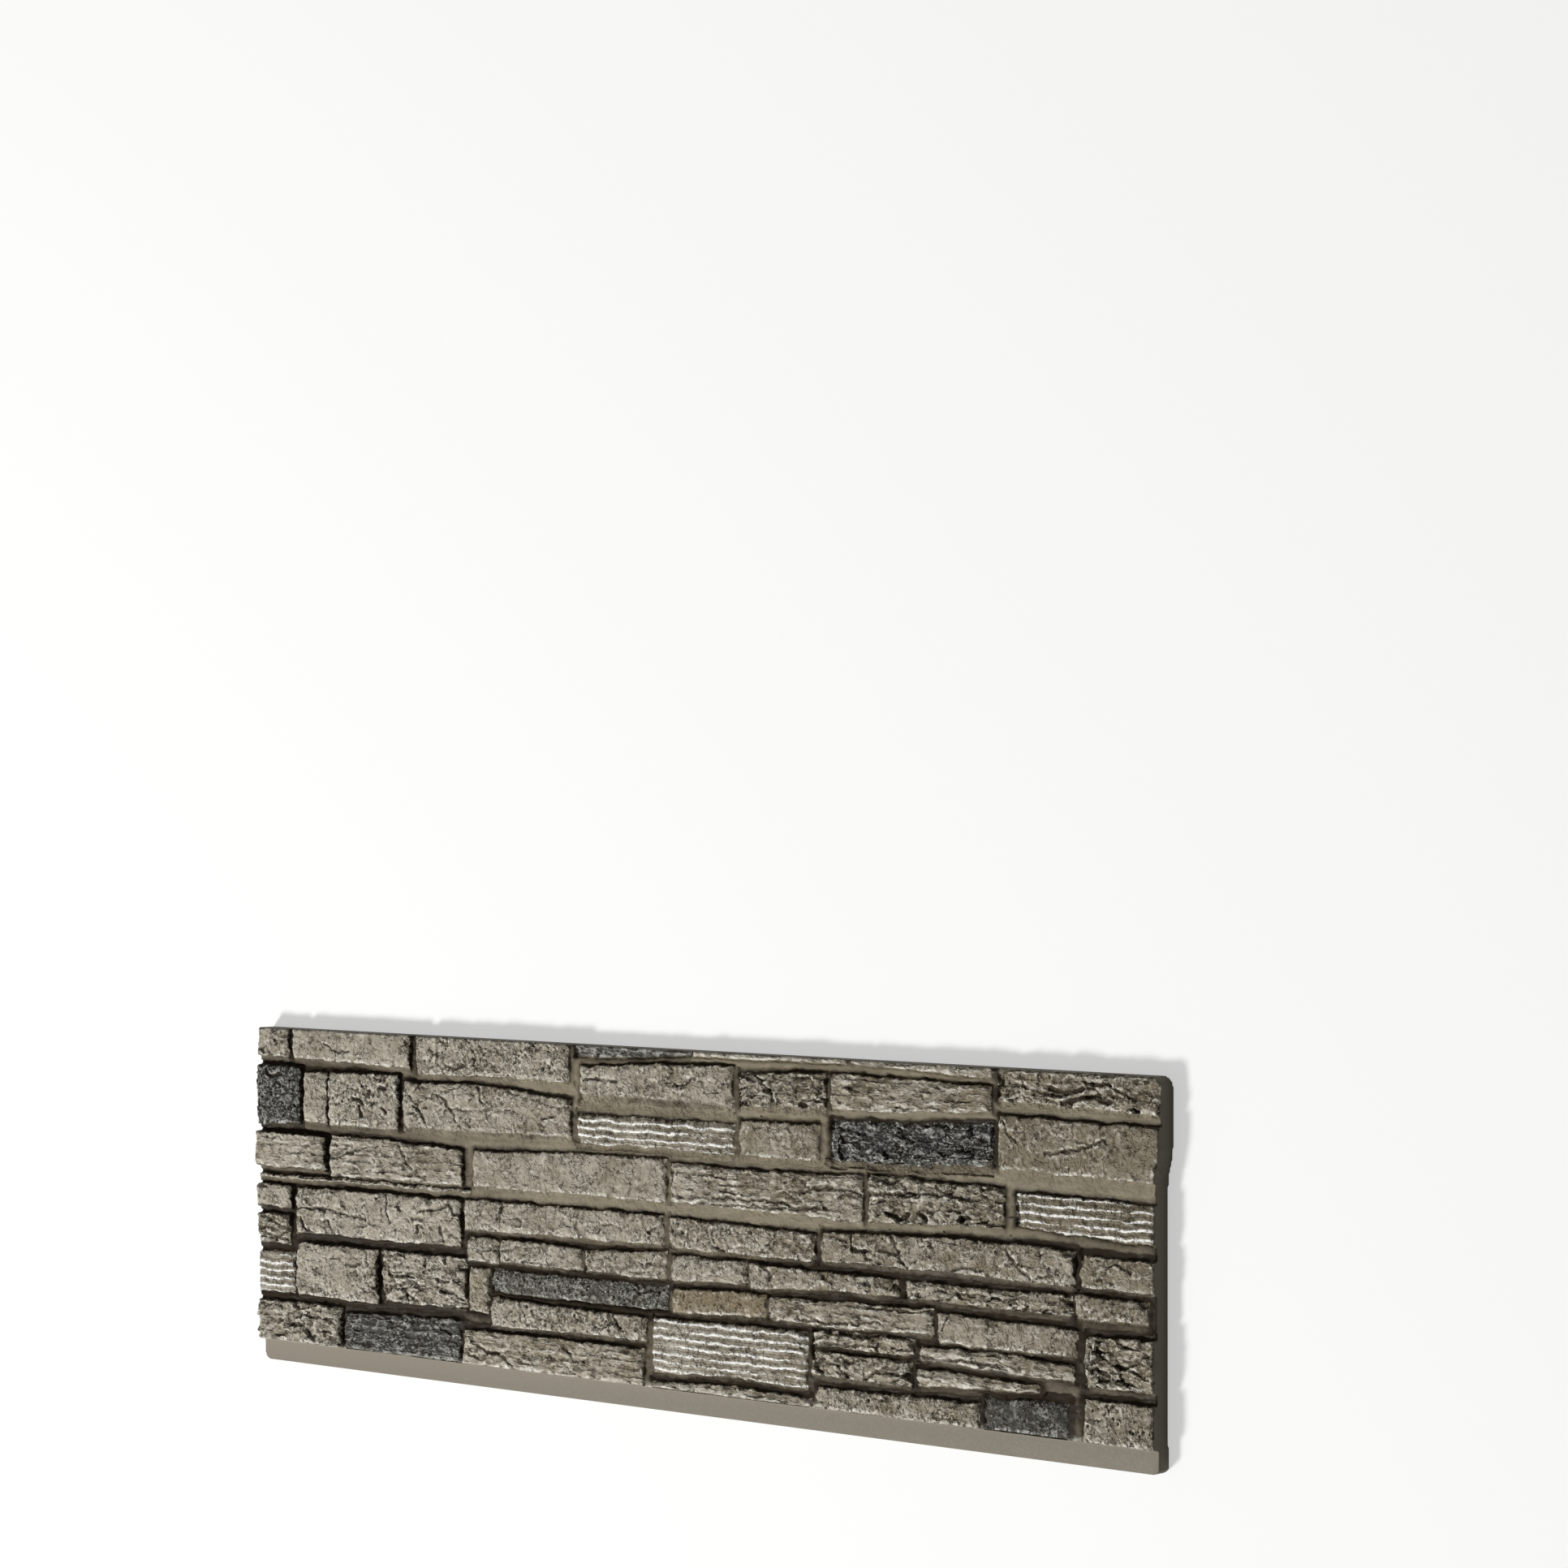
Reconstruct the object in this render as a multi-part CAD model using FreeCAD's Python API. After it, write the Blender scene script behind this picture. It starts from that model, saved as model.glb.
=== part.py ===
import FreeCAD, Part
import os

# A faux stone wall panel moulded in one piece: a flat-backed plate with a plain
# fixing lip along its lower edge, a stepped right end, and the raised faces of
# ledge stones parted by grooves. Stored lying on its back.
#
# X runs along the panel, Y up the wall that it covers and Z out of the stones.
# The origin is under the middle of the overall box, on the back face.
# All sizes are in millimetres.

# Overall form
FACE_LENGTH = 1080.0        # the stones, from the left end to the lower right end
FACE_HEIGHT = 300.0         # the stones, from the top edge down to the lip
GROOVE_FLOOR = 15.5         # plate thickness at the bottom of the grooves

# Fixing lip below the stones
LIP_DEPTH = 20.0            # how far it reaches below the stones
LIP_THICKNESS = 13.5
LIP_LEFT_INSET = 3.5        # its left end stands in from the end of the stones
LIP_RIGHT_REACH = 1.2       # its right end stands out past the end wall
LIP_CORNER_RADIUS = 8.0

# Right end, which steps out near the top
END_STEP = 5.0              # how far the upper part reaches past the lower part
END_STEP_TOP = 56.0         # where the step starts, below the top edge
END_STEP_RUN = 34.0         # the height that the step takes to come in
TOP_CORNER_RADIUS = 10.0

# Stone edges
SIDE_DRAFT = 0.9            # how much a stone's foot is wider than its shoulder
ARRIS = 1.3                 # bevel round each stone's face
ARRIS_DROP = 1.6            # height of that bevel
ROOT = 5.0                  # how deep a stone's block is set into the plate

# One row for each stone, course by course from the top. Each gives its left and
# right ends from the left end of the panel, its upper and lower edges below the
# top edge, at even stations from left to right, the distance of its face from
# the back, and how much further out its lower edge stands than its upper one.
STONES = [
    # First course
    (0.0, 42.0, (0, 0), (27, 29), 20.5, 0.6),
    (48.5, 211.0, (0, 0), (28.5, 32), 20.5, 0.4),
    (220.5, 421.0, (0, 0), (36.5, 35), 21.5, -0.6),
    (427.0, 571.0, (0, 0), (12, 10, 5), 17.8, 0.0),
    (434.0, 621.5, (19, 13, 11.5), (51.5, 53.5), 20.5, -1.6),
    (574.0, 752.0, (0, 0), (6, 5), 19.5, 0.0),
    (758.0, 911.5, (0, 0), (4.5, 7, 10.5), 20.0, 0.0),
    (628.0, 729.0, (17, 12), (50, 49.5), 20.8, 0.8),
    (734.5, 911.5, (12.5, 13.5, 15.5), (45, 42, 38), 20.6, 0.9),
    (918.5, 1080.0 + END_STEP, (0, 0), (28.5, 32.5), 20.2, -0.5),
    # Second course
    (0.0, 60.5, (35.5, 36), (93, 92), 22.6, -0.6),
    (64.0, 97.0, (40, 39.5), (89.5, 89.5), 20.6, 0.3),
    (100.0, 196.0, (38.5, 38.5), (90, 90.5), 21.4, -0.4),
    (203.0, 423.5, (43, 42.5, 50), (90.5, 88), 21.2, 0.8),
    (431.0, 621.5, (62.5, 62), (89, 89.5), 19.2, 0.0),
    (628.0, 721.0, (58, 57), (89, 89), 20.0, 0.0),
    (735.0, 912.0, (52.5, 51, 46), (88.5, 88, 83), 18.6, -0.5),
    (918.5, 1080.0 + END_STEP, (38.5, 41), (84, 87.5), 21.2, 0.6),
    # Third course
    (0.0, 95.5, (99.5, 101), (133, 134.5), 24.2, -0.8),
    (102.0, 282.0, (98.5, 103), (138, 137.5), 21.0, 0.5),
    (296.0, 541.5, (103, 98.5, 96.5), (136.5, 136.5), 20.8, 0.4),
    (547.0, 771.0, (99.5, 100.5, 98), (135.5, 136.5, 139.5), 21.0, 0.5),
    (777.0, 925.0, (96.5, 98.5), (138, 131.5), 20.8, 0.6),
    (937.0, 1080.0, (101.5, 104), (130, 134, 137), 19.6, 0.0),
    # Thin slab under the third course
    (0.0, 290.0, (140.5, 140), (144.5, 143.5), 20.4, 0.0),
    # Fourth course
    (0.0, 47.5, (150.5, 150.5), (172.5, 172), 22.2, 0.4),
    (53.0, 281.0, (150.5, 150), (195.5, 194), 21.6, -0.5),
    (284.5, 537.5, (148, 147), (177, 174.5), 20.8, 0.4),
    (545.0, 717.0, (148, 150.5), (175.5, 175.5), 21.0, -0.6),
    (724.0, 999.0, (148.5, 143.5, 144.5), (174, 173.5, 176), 21.4, 0.5),
    (1005.0, 1080.0, (149, 149), (175, 175.5), 20.6, 0.4),
    # Fifth course
    (0.0, 45.0, (178.5, 178), (208, 208), 20.6, -0.9),
    (288.0, 328.5, (182.5, 182), (205.5, 206), 20.4, 0.0),
    (331.5, 437.0, (181.5, 183), (204, 204), 20.9, -0.4),
    (440.5, 541.0, (184, 179), (204.5, 204.5), 20.2, 0.6),
    (548.0, 637.0, (180.5, 181), (204, 202), 20.6, 0.0),
    (640.5, 811.5, (181, 183), (204, 199, 198), 20.8, -0.5),
    (817.5, 995.5, (183, 183.5, 182), (198, 199.5, 200), 20.3, 0.5),
    (998.5, 1074.0, (181, 181.5), (201.5, 201.5), 20.2, 0.0),
    # Sixth course
    (0.0, 50.5, (215.5, 214), (255, 254), 18.8, 0.0),
    (56.0, 168.5, (204, 203), (254, 254), 21.8, 0.4),
    (175.0, 287.5, (203, 203), (251.5, 250.5), 21.2, -0.5),
    (291.0, 316.0, (211, 211), (251, 252), 19.4, 0.0),
    (320.0, 543.0, (210.5, 209.5), (232, 231.5), 19.0, 0.0),
    (549.0, 659.0, (210.5, 206.5), (232.5, 228.5), 20.4, -0.6),
    (662.5, 848.0, (209, 206, 205), (228.5, 229.5, 227), 20.8, 0.6),
    (853.5, 1001.5, (207, 209.5), (233, 233.5), 20.6, 0.0),
    (1009.5, 1080.0, (213, 212), (255, 255), 20.8, -0.8),
    # Seventh course
    (320.0, 517.5, (236, 238.5), (262.5, 260.5), 20.9, 0.5),
    (525.0, 708.0, (238, 236, 235), (287, 283, 285.5), 20.4, 0.4),
    (713.0, 826.0, (231.5, 232), (247.5, 247), 19.8, -0.6),
    (713.0, 824.5, (251, 251), (273, 273), 20.9, 0.7),
    (832.5, 998.0, (237, 235, 240), (249.5, 253.5), 20.6, 0.3),
    (830.0, 962.0, (256, 258), (271, 265.5), 20.2, 0.0),
    # Lowest course
    (0.0, 118.0, (262, 261), (300, 300), 21.4, 0.7),
    (122.0, 279.5, (266, 262, 261), (300, 300), 19.6, -0.5),
    (283.5, 514.0, (267.5, 266.5), (300, 300), 21.2, 0.5),
    (523.0, 713.0, (293, 290, 292), (300, 300), 20.0, 0.0),
    (717.5, 898.5, (281.5, 278.5), (300, 300), 20.8, 0.4),
    (903.5, 991.5, (273.5, 270), (300, 300), 18.8, 0.0),
    (1008.5, 1080.0, (265, 265), (300, 300), 21.2, 0.4),
]

# The wide bed joints are pointed with a ledge that starts inside the feet of the
# stones above and falls towards the stones below, where a narrow groove is left.
# The rows are laid out as the stones' are.
LEDGES = [
    # Under the first course
    (222.0, 428.0, (34, 33), (41.5, 41), 17.2, -1.6),
    (430.0, 623.0, (49, 50.5), (61, 60.5), 17.8, -2.2),
    (918.5, 1080.0 + END_STEP, (26, 30), (37, 39.5), 17.4, -1.8),
    # Under the second course
    (62.0, 290.0, (87, 87.5), (97.5, 101), 17.4, -2.0),
    (290.0, 545.0, (87.5, 86), (101, 97.5, 95), 17.4, -2.0),
    (545.0, 772.0, (86, 86), (98, 99, 96.5), 17.6, -2.2),
    (775.0, 928.0, (84.5, 80), (95, 97), 17.6, -2.0),
    (932.0, 1080.0, (81, 84), (99.5, 102), 17.8, -2.6),
    # Under the third course
    (292.0, 543.0, (133.5, 133.5), (146.5, 145.5), 17.6, -2.0),
    (545.0, 717.0, (132.5, 133.5), (146.5, 149), 17.6, -2.0),
]

# The face that the layout is drawn on, whose lower right corner is the last
# stone's. The layout stretches from it to the face's real size.
DRAWN_LENGTH = STONES[-1][1]
DRAWN_HEIGHT = STONES[-1][3][-1]

# The panel's left end and top edge in its own frame
OVERALL_LENGTH = FACE_LENGTH + END_STEP
OVERALL_HEIGHT = FACE_HEIGHT + LIP_DEPTH
LEFT = -OVERALL_LENGTH / 2
TOP = OVERALL_HEIGHT / 2


def at(along, down, out=0.0):
    """The point that lies this far from the left end, the top edge and the back."""
    return FreeCAD.Vector(LEFT + along, TOP - down, out)


def line(start, end):
    return Part.LineSegment(start, end).toShape()


def arc(start, middle, end):
    return Part.Arc(start, middle, end).toShape()


def corner(centre_along, centre_down, radius, first, second):
    """A quarter-round corner between two unit directions from its centre."""
    half = 2 ** -0.5

    def rim(direction):
        return at(centre_along + radius * direction[0], centre_down + radius * direction[1])

    middle = ((first[0] + second[0]) * half, (first[1] + second[1]) * half)
    return arc(rim(first), rim(middle), rim(second))


def end_step(down):
    """The two tangent arcs by which the right end comes in, from the top down."""
    quarter = END_STEP_RUN / 4
    bulge = END_STEP / 8
    outer = at(FACE_LENGTH + END_STEP, down)
    waist = at(FACE_LENGTH + END_STEP / 2, down + 2 * quarter)
    inner = at(FACE_LENGTH, down + 4 * quarter)
    upper_middle = at(FACE_LENGTH + END_STEP - bulge, down + quarter)
    lower_middle = at(FACE_LENGTH + bulge, down + 3 * quarter)
    return [arc(outer, upper_middle, waist), arc(waist, lower_middle, inner)]


def prism(edges, height):
    face = Part.Face(Part.Wire(edges))
    return face.extrude(FreeCAD.Vector(0, 0, height))


def stone_outline():
    """The outline of the plate behind the stones, without the lip."""
    reach = FACE_LENGTH + END_STEP
    radius = TOP_CORNER_RADIUS
    edges = [line(at(0, 0), at(reach - radius, 0))]
    edges.append(corner(reach - radius, radius, radius, (0, -1), (1, 0)))
    edges.append(line(at(reach, radius), at(reach, END_STEP_TOP)))
    edges.extend(end_step(END_STEP_TOP))
    foot = END_STEP_TOP + END_STEP_RUN
    edges.append(line(at(FACE_LENGTH, foot), at(FACE_LENGTH, FACE_HEIGHT)))
    edges.append(line(at(FACE_LENGTH, FACE_HEIGHT), at(0, FACE_HEIGHT)))
    edges.append(line(at(0, FACE_HEIGHT), at(0, 0)))
    return edges


def lip():
    """The fixing lip, which reaches a little way up behind the lowest stones."""
    left = LIP_LEFT_INSET
    right = FACE_LENGTH + LIP_RIGHT_REACH
    top = FACE_HEIGHT - LIP_RIGHT_REACH
    bottom = FACE_HEIGHT + LIP_DEPTH
    radius = LIP_CORNER_RADIUS
    edges = [line(at(left, top), at(right, top))]
    edges.append(line(at(right, top), at(right, bottom - radius)))
    edges.append(corner(right - radius, bottom - radius, radius, (1, 0), (0, 1)))
    edges.append(line(at(right - radius, bottom), at(left + radius, bottom)))
    edges.append(corner(left + radius, bottom - radius, radius, (0, 1), (-1, 0)))
    edges.append(line(at(left, bottom - radius), at(left, top)))
    return prism(edges, LIP_THICKNESS)


def drawn(along, down):
    """A place of the drawn layout on the face as it is sized."""
    beyond = max(along - DRAWN_LENGTH, 0.0)
    stretched = (along - beyond) * FACE_LENGTH / DRAWN_LENGTH
    return (stretched + beyond, down * FACE_HEIGHT / DRAWN_HEIGHT)


def stations(left, right, depths):
    """Pairs of distance along and depth, at even steps from left to right."""
    step = (right - left) / (len(depths) - 1)
    return [drawn(left + step * place, depth) for place, depth in enumerate(depths)]


def inset(outline, distance):
    """The outline, given clockwise as seen with depth downwards, moved inwards."""
    moved = []
    for place, point in enumerate(outline):
        before = outline[place - 1]
        after = outline[(place + 1) % len(outline)]
        first = inward_normal(before, point)
        second = inward_normal(point, after)
        spread = 1 + first[0] * second[0] + first[1] * second[1]
        along = point[0] + distance * (first[0] + second[0]) / spread
        down = point[1] + distance * (first[1] + second[1]) / spread
        moved.append((along, down))
    return moved


def inward_normal(start, end):
    run = (end[0] - start[0], end[1] - start[1])
    length = (run[0] ** 2 + run[1] ** 2) ** 0.5
    return (-run[1] / length, run[0] / length)


def ring(outline, level, lean, middle):
    """The outline's points on a plane that leans out towards the lower edge."""
    return [at(along, down, level + lean * (down - middle)) for along, down in outline]


def flat_face(points):
    return Part.Face(Part.makePolygon(points + points[:1]))


def wall(lower, upper):
    """The planar faces between two rings whose edges run parallel."""
    faces = []
    for place in range(len(lower)):
        after = (place + 1) % len(lower)
        faces.append(flat_face([lower[place], lower[after], upper[after], upper[place]]))
    return faces


def stone(left, right, tops, bottoms, out, lean):
    """One stone's block: drafted sides, a bevelled arris and a leaning face."""
    upper_edge = stations(left, right, tops)
    lower_edge = stations(left, right, bottoms)
    shoulder = upper_edge + lower_edge[::-1]
    height = lower_edge[0][1] - upper_edge[0][1]
    middle = (lower_edge[0][1] + upper_edge[0][1]) / 2
    slope = lean / height
    arris = min(ARRIS, height / 4)
    foot = ring(inset(shoulder, -SIDE_DRAFT), GROOVE_FLOOR - ROOT, slope, middle)
    edge = ring(shoulder, out - ARRIS_DROP, slope, middle)
    face = ring(inset(shoulder, arris), out, slope, middle)
    faces = [flat_face(foot), flat_face(face)] + wall(foot, edge) + wall(edge, face)
    block = Part.Solid(Part.Shell(faces))
    if block.Volume < 0:
        block.reverse()
    return block


def wall_panel():
    outline = stone_outline()
    plate = prism(outline, GROOVE_FLOOR)
    tallest = max(out + abs(lean) for *_, out, lean in STONES)
    trim = prism(outline, tallest)
    blocks = [stone(*row) for row in STONES + LEDGES]
    relief = blocks[0].multiFuse(blocks[1:]).common(trim)
    return plate.fuse([lip(), relief]).removeSplitter()


os.makedirs("parts", exist_ok=True)
panel = wall_panel()
panel.exportStep("parts/wall_panel.step")
box = panel.BoundBox
print("wall_panel valid", panel.isValid(), "solids", len(panel.Solids), "faces", len(panel.Faces))
print("size", round(box.XLength, 2), round(box.YLength, 2), round(box.ZLength, 2))
print("from", round(box.XMin, 2), round(box.YMin, 2), round(box.ZMin, 2))
print("volume", round(panel.Volume / 1e6, 4), "litres")
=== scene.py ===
import logging
import math
from dataclasses import asdict, dataclass
from enum import Enum

import bmesh
import bpy
from mathutils import Matrix, Vector


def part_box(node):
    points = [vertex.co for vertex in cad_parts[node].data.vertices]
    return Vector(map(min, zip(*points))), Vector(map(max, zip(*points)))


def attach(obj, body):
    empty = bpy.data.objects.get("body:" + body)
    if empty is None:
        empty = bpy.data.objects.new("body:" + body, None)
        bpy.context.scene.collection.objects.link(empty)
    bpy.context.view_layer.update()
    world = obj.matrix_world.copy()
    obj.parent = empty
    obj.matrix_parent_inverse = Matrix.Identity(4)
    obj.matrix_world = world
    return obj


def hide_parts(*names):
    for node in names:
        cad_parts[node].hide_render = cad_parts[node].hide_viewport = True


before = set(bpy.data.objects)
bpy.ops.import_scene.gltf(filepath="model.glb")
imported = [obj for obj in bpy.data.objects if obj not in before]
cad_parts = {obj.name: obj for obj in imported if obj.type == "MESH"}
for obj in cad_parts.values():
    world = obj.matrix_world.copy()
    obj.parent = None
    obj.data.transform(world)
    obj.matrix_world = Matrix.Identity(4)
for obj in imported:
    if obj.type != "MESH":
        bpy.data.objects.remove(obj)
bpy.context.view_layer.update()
log = logging.getLogger("wall_panel")

MM = 0.001
NODE = "wall_panel"

# How far the right end steps out, and how far the lip stands out below the stones
END_STEP = 5 * MM
LIP_DEPTH = 20 * MM

# Kinds of node that the trees are mostly made of
MATH = "ShaderNodeMath"
VECTOR = "ShaderNodeVectorMath"
RANGE = "ShaderNodeMapRange"
NOISE = "ShaderNodeTexNoise"
CELLS = "ShaderNodeTexVoronoi"
APART = "ShaderNodeSeparateXYZ"
TOGETHER = "ShaderNodeCombineXYZ"
MIX = "ShaderNodeMix"

# White light, and what keeps a place's x and y alone
WHITE = (1.0, 1.0, 1.0, 1.0)
FLAT = (1.0, 1.0, 0.0)

# A noise's mean on each axis, how rough it is, and what draws out its swing to 1
MIDDLE = (0.5, 0.5, 0.5)
NOISE_ROUGHNESS = 0.58
NOISE_REACH = 3.4

# What a node's input may be given, besides a fixed vector or colour
Value = bpy.types.Node | bpy.types.NodeSocket | float

# Length, height and depth
Size = tuple[float, float, float]

# What each stone's face carries for the relief tree: vectors and single numbers
STONE_VECTORS = ("shape", "wear", "paint")
STONE_NUMBERS = ("chip", "foot", "number")


def linear(hex_colour: str) -> tuple[float, float, float, float]:
    """Turns an sRGB hex colour into the linear colour that Blender's sockets take.

    Args:
        hex_colour: Six hex digits, with or without a leading hash.

    Returns:
        Red, green, blue and an alpha of one.
    """
    digits = hex_colour.lstrip("#")
    channels = [int(digits[place:place + 2], 16) / 255 for place in (0, 2, 4)]
    curved = [c / 12.92 if c <= 0.04045 else ((c + 0.055) / 1.055) ** 2.4 for c in channels]
    return (curved[0], curved[1], curved[2], 1.0)


def add(tree: bpy.types.NodeTree, kind: str, inputs: dict[int | str, Value | tuple] | None = None,
        **settings: str | bool | int) -> bpy.types.Node:
    """Adds one node to a tree, with its settings and its inputs.

    Args:
        tree: The tree that gets the node.
        kind: The node's type name.
        inputs: Input name or place to a value, a socket, or a node whose first output is meant.
        settings: Properties of the node, such as operation.

    Returns:
        The new node.
    """
    node = tree.nodes.new(kind)
    for name, value in settings.items():
        setattr(node, name, value)
    for key, value in (inputs or {}).items():
        socket = node.inputs[key] if isinstance(key, int) else next(
            entry for entry in node.inputs if entry.name == key and entry.enabled
        )
        if isinstance(value, bpy.types.Node):
            value = next(output for output in value.outputs if output.enabled)
        if isinstance(value, bpy.types.NodeSocket):
            tree.links.new(value, socket)
        else:
            socket.default_value = value
    return node


def total(tree: bpy.types.NodeTree, *terms: Value | tuple[Value, ...]) -> bpy.types.Node:
    """Writes out a sum of products.

    Args:
        tree: The tree that gets the nodes.
        terms: Each a value, or a tuple of values that are multiplied together.

    Returns:
        The node with the sum.
    """
    added = None
    for term in terms:
        product, *others = term if isinstance(term, tuple) else (term,)
        for factor in others:
            product = add(tree, MATH, {0: product, 1: factor}, operation="MULTIPLY")
        added = product if added is None else add(tree, MATH, {0: added, 1: product})
    return added


def treads(tree: bpy.types.NodeTree, value: bpy.types.Node) -> bpy.types.Node:
    """Turns a smooth rise into flat treads with narrow risers, as stone that has flaked.

    Args:
        tree: The tree that gets the nodes.
        value: The smooth rise, in steps.

    Returns:
        The node with the stepped rise.
    """
    tread = add(tree, MATH, {0: value}, operation="FLOOR")
    riser = add(tree, MATH, {0: value}, operation="FRACT")
    riser = add(tree, RANGE, {0: riser, 1: 0.7, 2: 1.0}, interpolation_type="SMOOTHSTEP")
    return total(tree, tread, riser)


class Cut(Enum):
    """How a stone's face was worked on the pattern that the mould was taken from."""

    SPLIT = "split"
    RIVEN = "riven"
    BROKEN = "broken"
    PITTED = "pitted"
    DRESSED = "dressed"
    VEINED = "veined"


@dataclass(frozen=True)
class Relief:
    """How deep each kind of relief runs on a face.

    Attributes:
        lump: Depth of broad swells, mm.
        facet: Depth of fracture planes, mm.
        layer: Depth of bedding ledges, mm.
        crack: Depth of cracks, mm.
        pit: Depth of pits, mm.
        vein: Height of quartz veins, mm.
        chip: Depth of small chips, mm.
    """

    lump: float
    facet: float
    layer: float
    crack: float
    pit: float
    vein: float
    chip: float


RELIEFS = {
    Cut.SPLIT: Relief(lump=1.5, facet=1.4, layer=0.3, crack=0.9, pit=0.2, vein=0.0, chip=0.6),
    Cut.RIVEN: Relief(lump=1.0, facet=1.0, layer=1.5, crack=0.6, pit=0.4, vein=0.0, chip=0.7),
    Cut.BROKEN: Relief(lump=1.6, facet=2.9, layer=1.1, crack=1.3, pit=0.6, vein=0.0, chip=1.1),
    Cut.PITTED: Relief(lump=1.0, facet=1.1, layer=0.4, crack=0.5, pit=1.4, vein=0.0, chip=1.0),
    Cut.DRESSED: Relief(lump=0.9, facet=0.6, layer=0.1, crack=0.4, pit=0.2, vein=0.0, chip=0.4),
    Cut.VEINED: Relief(lump=0.7, facet=0.5, layer=0.3, crack=0.3, pit=0.1, vein=0.8, chip=0.4),
}


@dataclass(frozen=True)
class Stone:
    """One stone of the face, found by a point on it.

    Attributes:
        along: Distance of the point from the panel's left end, mm.
        down: Distance of the point below the panel's top edge, mm.
        cut: How its face was worked.
        tint: Lighter than the rest above nought, darker below it, from -1 to 1.
        charcoal: How far it is painted charcoal, from 0 to 1.
        ochre: How far it is painted ochre, from 0 to 1.
        foot: Height of the smooth slope that mortar is smeared on along its lower edge, mm.
    """

    along: float
    down: float
    cut: Cut
    tint: float = 0.0
    charcoal: float = 0.0
    ochre: float = 0.0
    foot: float = 0.0


# By course from the top, and along each from the left
STONES = (
    Stone(20, 14, Cut.SPLIT, 0.1),
    Stone(130, 15, Cut.DRESSED, 0.2),
    Stone(320, 18, Cut.PITTED, 0.1),
    Stone(480, 5, Cut.RIVEN, -0.6, charcoal=0.9),
    Stone(530, 32, Cut.SPLIT, 0.1, foot=9),
    Stone(660, 3, Cut.RIVEN, 0.5),
    Stone(830, 3, Cut.RIVEN, 0.5),
    Stone(680, 31, Cut.BROKEN, 0.0, foot=5),
    Stone(820, 27, Cut.RIVEN, -0.1),
    Stone(1000, 15, Cut.BROKEN, -0.2),
    Stone(30, 64, Cut.PITTED, 0.0, charcoal=1.0),
    Stone(80, 64, Cut.DRESSED, 0.2),
    Stone(150, 64, Cut.PITTED, 0.3),
    Stone(310, 66, Cut.SPLIT, 0.1, foot=4),
    Stone(525, 76, Cut.VEINED, -0.2),
    Stone(675, 74, Cut.DRESSED, 0.0),
    Stone(820, 70, Cut.BROKEN, -0.2, charcoal=1.0),
    Stone(1000, 62, Cut.DRESSED, -0.3),
    Stone(48, 116, Cut.RIVEN, 0.1),
    Stone(190, 119, Cut.RIVEN, 0.0),
    Stone(420, 118, Cut.DRESSED, 0.1),
    Stone(660, 118, Cut.RIVEN, 0.0),
    Stone(850, 116, Cut.BROKEN, -0.2),
    Stone(1010, 118, Cut.VEINED, -0.3),
    Stone(24, 161, Cut.DRESSED, 0.1),
    Stone(165, 172, Cut.SPLIT, 0.2),
    Stone(410, 162, Cut.SPLIT, 0.3),
    Stone(630, 162, Cut.PITTED, -0.1),
    Stone(860, 159, Cut.SPLIT, 0.1),
    Stone(1042, 162, Cut.SPLIT, -0.2),
    Stone(22, 193, Cut.BROKEN, -0.3),
    Stone(490, 194, Cut.SPLIT, 0.1),
    Stone(905, 191, Cut.BROKEN, 0.2),
    Stone(25, 235, Cut.VEINED, 0.2),
    Stone(112, 228, Cut.SPLIT, 0.3),
    Stone(231, 227, Cut.BROKEN, 0.2),
    Stone(303, 231, Cut.DRESSED, -0.2, ochre=0.3),
    Stone(430, 221, Cut.PITTED, 0.3, charcoal=0.85),
    Stone(604, 219, Cut.DRESSED, -0.1, ochre=0.75),
    Stone(755, 217, Cut.RIVEN, 0.1, ochre=0.1),
    Stone(928, 220, Cut.DRESSED, 0.3),
    Stone(1045, 234, Cut.BROKEN, 0.0),
    Stone(419, 249, Cut.PITTED, 0.0),
    Stone(615, 260, Cut.VEINED, 0.1),
    Stone(770, 240, Cut.BROKEN, 0.3, ochre=0.25),
    Stone(770, 262, Cut.BROKEN, 0.3, ochre=0.25),
    Stone(915, 244, Cut.RIVEN, 0.5),
    Stone(895, 262, Cut.RIVEN, 0.5),
    Stone(59, 281, Cut.BROKEN, 0.1),
    Stone(200, 281, Cut.RIVEN, 0.0, charcoal=0.95),
    Stone(400, 284, Cut.RIVEN, 0.1, ochre=0.2),
    Stone(615, 296, Cut.RIVEN, -0.1),
    Stone(808, 290, Cut.PITTED, 0.4),
    Stone(947, 286, Cut.DRESSED, 0.0, charcoal=0.9),
    Stone(1044, 283, Cut.PITTED, 0.1),
)


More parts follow.
